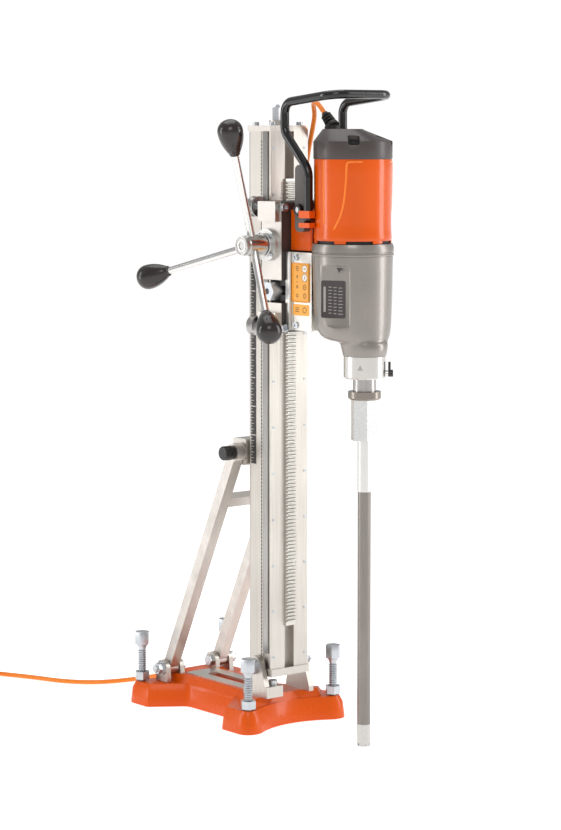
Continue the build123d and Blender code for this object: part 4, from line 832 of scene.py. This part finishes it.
# ---------------------------------------------------------------- motor shell
# Injection-moulded in glossy orange. It tapers a little towards its foot, with raised seams down its sides, and
# stands on six feet that leave the cooling slots between it and the gearbox cover.
shell_plastic = finish_of(
    "gloss_orange_moulding", ("#D85300", "#DA5501"), 0, 0.22, 0.0060, 0.000003, coat=0.2, ior=1.34
)
shell_levels = [
    (0.9860, 0.0648), (0.9840, 0.0650), (0.9640, 0.0650), (0.9400, 0.0648), (0.9100, 0.0645), (0.8850, 0.0642),
    (0.8700, 0.0643), (0.8620, 0.0648), (0.8560, 0.0652), (0.8530, 0.0650), (0.8510, 0.0640),
]
shell_profile = [(0.0600, 0.9860)] + [(r, z) for z, r in shell_levels] + [(0.0605, 0.8510), (0.0600, 0.9860)]
shell = turned_piece("motor_casing", shell_profile, 96)
shell.data.transform(Matrix.Translation((0, motor_y, 0)))
feet = [shell]
for i in range(6):
    around = math.radians(60 * i + 30)
    bpy.ops.mesh.primitive_cube_add(size=1, location=(0.0622, 0, 0.8490))
    foot = bpy.context.object
    foot.scale = (0.0036, 0.020, 0.0060)
    bpy.ops.object.transform_apply(location=True, scale=True)
    eased(foot, 0.0008, 2)
    foot.data.transform(Matrix.Translation((0, motor_y, 0)) @ Matrix.Rotation(around, 4, "Z"))
    feet.append(foot)
settle(joined(feet, "motor_casing"), "carriage", shell_plastic, ("motor_shell",))
vent_screen = turned_piece("vent_screen", [
    (0.0590, 0.8462), (0.0600, 0.8462), (0.0600, 0.8530), (0.0590, 0.8530), (0.0590, 0.8462),
], 64)
settle(vent_screen, "carriage", dark_strip, turn=Matrix.Translation((0, motor_y, 0)))


def shell_radius_at(z):
    """The casing's radius at a height."""
    for (high, outer), (low, inner) in zip(shell_levels, shell_levels[1:]):
        if low <= z <= high:
            return inner + (outer - inner) * (z - low) / (high - low)
    return shell_levels[-1][1]


def raised_seam(name, places, width):
    """A raised line that follows the casing through places of (degrees round, height)."""
    curve = bpy.data.curves.new(name, "CURVE")
    curve.dimensions = "3D"
    curve.bevel_depth = width
    curve.bevel_resolution = 3
    curve.use_fill_caps = True
    spline = curve.splines.new("NURBS")
    spline.points.add(len(places) - 1)
    for point, (degrees_round, z) in zip(spline.points, places):
        around = math.radians(degrees_round)
        radius = shell_radius_at(z) - width * 0.45
        point.co = (radius * math.cos(around), motor_y + radius * math.sin(around), z, 1)
    spline.order_u = 3
    spline.use_endpoint_u = True
    spline.resolution_u = 6
    seam = bpy.data.objects.new(name, curve)
    bpy.context.scene.collection.objects.link(seam)
    bpy.context.view_layer.objects.active = seam
    seam.select_set(True)
    bpy.ops.object.convert(target="MESH")
    seam = bpy.context.object
    bpy.ops.object.shade_smooth()
    seam.select_set(False)
    return seam


seam_width = 0.0020
side_seam = [(89, z) for z in (0.984, 0.96, 0.93, 0.90, 0.878)]  # (degrees round from the front, height)
hooked_seam = [
    (27, 0.982), (45, 0.982), (49, 0.981), (50, 0.975), (50.5, 0.955), (52, 0.935), (54, 0.915), (58, 0.897),
    (63, 0.884), (70, 0.871),
]
seams = []
for mirrored in (1, -1):
    for places in (side_seam, hooked_seam):
        turned = [(-90 - mirrored * degrees_round, z) for degrees_round, z in places]
        seams.append(raised_seam("seam", turned, seam_width))
# the seams' lighter orange is a painted highlight, standing in for the light that their ridges catch
seam_painted_highlight = finish_of("orange_seam_painted_highlight", ("#F07A20", "#F27E24"), 0, 0.22, 0.0060, 0.000003, coat=0.2, ior=1.34)
settle(joined(seams, "casing_seams"), "carriage", seam_painted_highlight)

# ---------------------------------------------------------------- motor cap
# A dark grey moulding over the brushes. Above its straight side it slopes up and back to the lead's boot, and a small
# window on each side of the slope lets air in; a near-black liner inside the cap paints the shade in the windows.
cap_moulding = finish_of("dark_grey_moulding", ("#463D3A", "#403835"), 0, 0.38, 0.0012, 0.00003, coat=0.1)
cap = lofted("cap_body", [
    (1.0360, -0.2900, 0.0335, 0.0335), (1.0345, -0.2905, 0.0350, 0.0350), (1.0158, motor_y, 0.0655, 0.0655),
    (1.0142, motor_y, 0.0660, 0.0660), (0.9875, motor_y, 0.0660, 0.0660), (0.9862, motor_y, 0.0655, 0.0655),
])
for side_x in (-1, 1):
    around = math.atan2(-0.0510, side_x * 0.0418)
    bpy.ops.mesh.primitive_cube_add(size=1, location=(0, 0, 0))
    window = bpy.context.object
    window.scale = (0.034, 0.019, 0.0180)
    bpy.ops.object.transform_apply(scale=True)
    eased(window, 0.004, 4)
    window.data.transform(
        Matrix.Translation((0, motor_y, 1.0185)) @ Matrix.Rotation(around, 4, "Z")
        @ Matrix.Translation((0.0560, 0, 0))
    )
    cut(cap, window)
eased(cap, 0.0009, 2, 35)
settle(cap, "carriage", cap_moulding, ("motor_cap",))
# painted shade: a near-black liner inside the cap that shows only as the windows' floors, darkening the recesses
window_painted_shade = finish_of("window_recess_painted_shade", ("#141211", "#1C1A19"), 0, 0.85, 0.0015, 0.0003)
window_shade_liner = lofted("window_shade_liner", [
    (1.0290, -0.2920, 0.0300, 0.0300), (1.0110, motor_y, 0.0595, 0.0595), (0.9900, motor_y, 0.0595, 0.0595),
])
eased(window_shade_liner, 0.0009, 1)
settle(window_shade_liner, "carriage", window_painted_shade)

# ---------------------------------------------------------------- inside the motor and gearbox
# Laminated steel windings, carbon brushes in a moulded holder and hardened gears. The switch and the gear selector
# are black mouldings that reach out through the shells.
dress("stator", dark_screw)
dress("armature", dark_screw)
dress("brush_gear", black_knob)
dress("layshaft", ground_steel)
dress("power_switch", black_knob)
dress("gear_selector", black_knob)

# ---------------------------------------------------------------- carrying handle
# Steel tube, bent cold and powder coated gloss black, held by two grey cast clamps with big round-headed screws.
powder_black = finish_of("gloss_black_powder_coat", ("#0C0B0B", "#121010"), 0, 0.20, 0.0012, 0.00002, coat=0.3)
clamp_grey = finish_of("grey_cast_clamp", ("#55504D", "#4D4946"), 0.2, 0.42, 0.0014, 0.00010, coat=0.1)
dress("handle_tube", powder_black)
two_tone(clamp_grey, "Y", (-0.3000, -0.2624), "#D85300")
dress("handle_brackets", clamp_grey)
head_profile = [
    (0, 0), (0.0098, 0), (0.0098, 0.0045), (0.0086, 0.0066), (0.0050, 0.0070), (0.0046, 0.0040), (0, 0.0040),
]
for side, side_x in (("left", -1), ("right", 1)):
    head = turned_piece(f"clamp_screw_head_{side}", head_profile, 36)
    head_turn = facing((side_x * 0.0601, -0.2495, 0.901), (side_x, 0, 0))
    settle(head, "carriage", dark_screw, turn=head_turn)

# ---------------------------------------------------------------- water collar, spindle and core bit
# The collar is turned from aluminium and feeds water into the hollow spindle. Below it are a dark seal ring, a zinc
# plated hexagon adaptor, and the bit: a white-sleeved shank, a plain drawn tube and a bright crown.
collar_turned = finish_of("turned_aluminium_collar", ("#D8D5D0", "#CCC9C4"), 1, 0.24, 0.0007, 0.000006, (1, 1, 8))
dress("water_collar", collar_turned)
dress("water_lever", black_knob)
dress("spindle", ground_steel)
adaptor_finish = finish_of("zinc_plated_hexagon", ("#D9D9D6", "#CCCDCB"), 1, 0.28, 0.0030, 0.000008)
two_tone(adaptor_finish, "Z", (0.5862, 0.6100), "#8E867E")
dress("bit_adaptor", adaptor_finish)
drawn_tube = finish_of("drawn_steel_tube", ("#8F8984", "#857F7A"), 1, 0.36, 0.0009, 0.000008, (1, 1, 0.02))
two_tone(drawn_tube, "Z", (0.4312, 0.6), "#DAD9D6")
dress("bit_tube", drawn_tube)
crown_steel = finish_of("bright_bit_crown", ("#C9C7C3", "#BDBBB7"), 1, 0.32, 0.0012, 0.000012)
dress("bit_crown", crown_steel)
# a small three-cornered mark on the collar's crank side
collar_mark = slab("collar_mark", [(-0.0048, -0.0036), (0.0048, -0.0036), (0, 0.0052)], 0)
drawn_up([(0.0004, 0)])
bpy.ops.object.mode_set(mode="OBJECT")
collar_heading = Vector((-0.80, -0.60, 0))
collar_mark.data.transform(
    Matrix.Translation(Vector((0, -0.347, 0.641)) + collar_heading * 0.0349)
    @ Matrix.Rotation(math.atan2(-0.6, -0.8), 4, "Z")
    @ Matrix.Rotation(math.radians(90), 4, "Y") @ Matrix.Rotation(math.radians(90), 4, "Z")
)
collar_mark.select_set(False)
settle(collar_mark, "carriage", plate_print)

# ---------------------------------------------------------------- studio
# A white sweep under soft lights: a key from the front, a tall strip each side that draws the long highlights on
# the casing and the column, and a broad one overhead.
bpy.ops.mesh.primitive_grid_add(x_subdivisions=4, y_subdivisions=4, size=600, location=(0, 0, -0.0005))
floor = bpy.context.object
floor.name = "floor"
floor.select_set(False)
floor_glow = 0.56  # a little light of its own, which keeps the sweep even out to its edge
paper = bpy.data.materials.new("matt_white_paper")
paper.use_nodes = True
paper_shader = paper.node_tree.nodes["Principled BSDF"]
paper_shader.inputs["Base Color"].default_value = (0.95, 0.95, 0.95, 1)
paper_shader.inputs["Roughness"].default_value = 0.95
paper_shader.inputs["Emission Color"].default_value = (1, 1, 1, 1)
paper_shader.inputs["Emission Strength"].default_value = floor_glow
floor.data.materials.append(paper)

# the sweep is white to the lens, and a mid grey in what the rig reflects
reflected_strength = 0.50
seen_strength = 1.02
world = bpy.data.worlds.new("studio")
world.use_nodes = True
world_tree = world.node_tree
seen = world_tree.nodes.new("ShaderNodeLightPath")
strength = world_tree.nodes.new("ShaderNodeMapRange")
strength.inputs["To Min"].default_value = reflected_strength
strength.inputs["To Max"].default_value = seen_strength
world_tree.links.new(seen.outputs["Is Camera Ray"], strength.inputs["Value"])
world_tree.links.new(strength.outputs["Result"], world_tree.nodes["Background"].inputs["Strength"])
world_tree.nodes["Background"].inputs["Color"].default_value = (1, 1, 1, 1)
bpy.context.scene.world = world


def soft_light(name, place, aim, size, power):
    """A soft box at a place, pointed at another, of a width and height in metres."""
    bpy.ops.object.light_add(type="AREA", location=place)
    light = bpy.context.object
    light.name = name
    light.data.shape = "RECTANGLE"
    light.data.size, light.data.size_y = size
    light.data.energy = power
    light.rotation_euler = (Vector(place) - Vector(aim)).to_track_quat("Z", "Y").to_euler()
    light.select_set(False)


soft_light("key", (-2.4, -3.0, 3.2), (0, -0.1, 0.6), (1.8, 1.8), 34)
soft_light("right_strip", (2.3, -2.0, 1.4), (0, -0.2, 0.8), (0.9, 2.4), 36)
soft_light("left_strip", (-2.5, 1.7, 1.3), (0, -0.2, 0.8), (0.6, 2.4), 26)
soft_light("top", (0.3, 0.6, 3.6), (0, 0, 0.4), (2.4, 2.4), 30)
bpy.context.scene.view_settings.view_transform = "Standard"
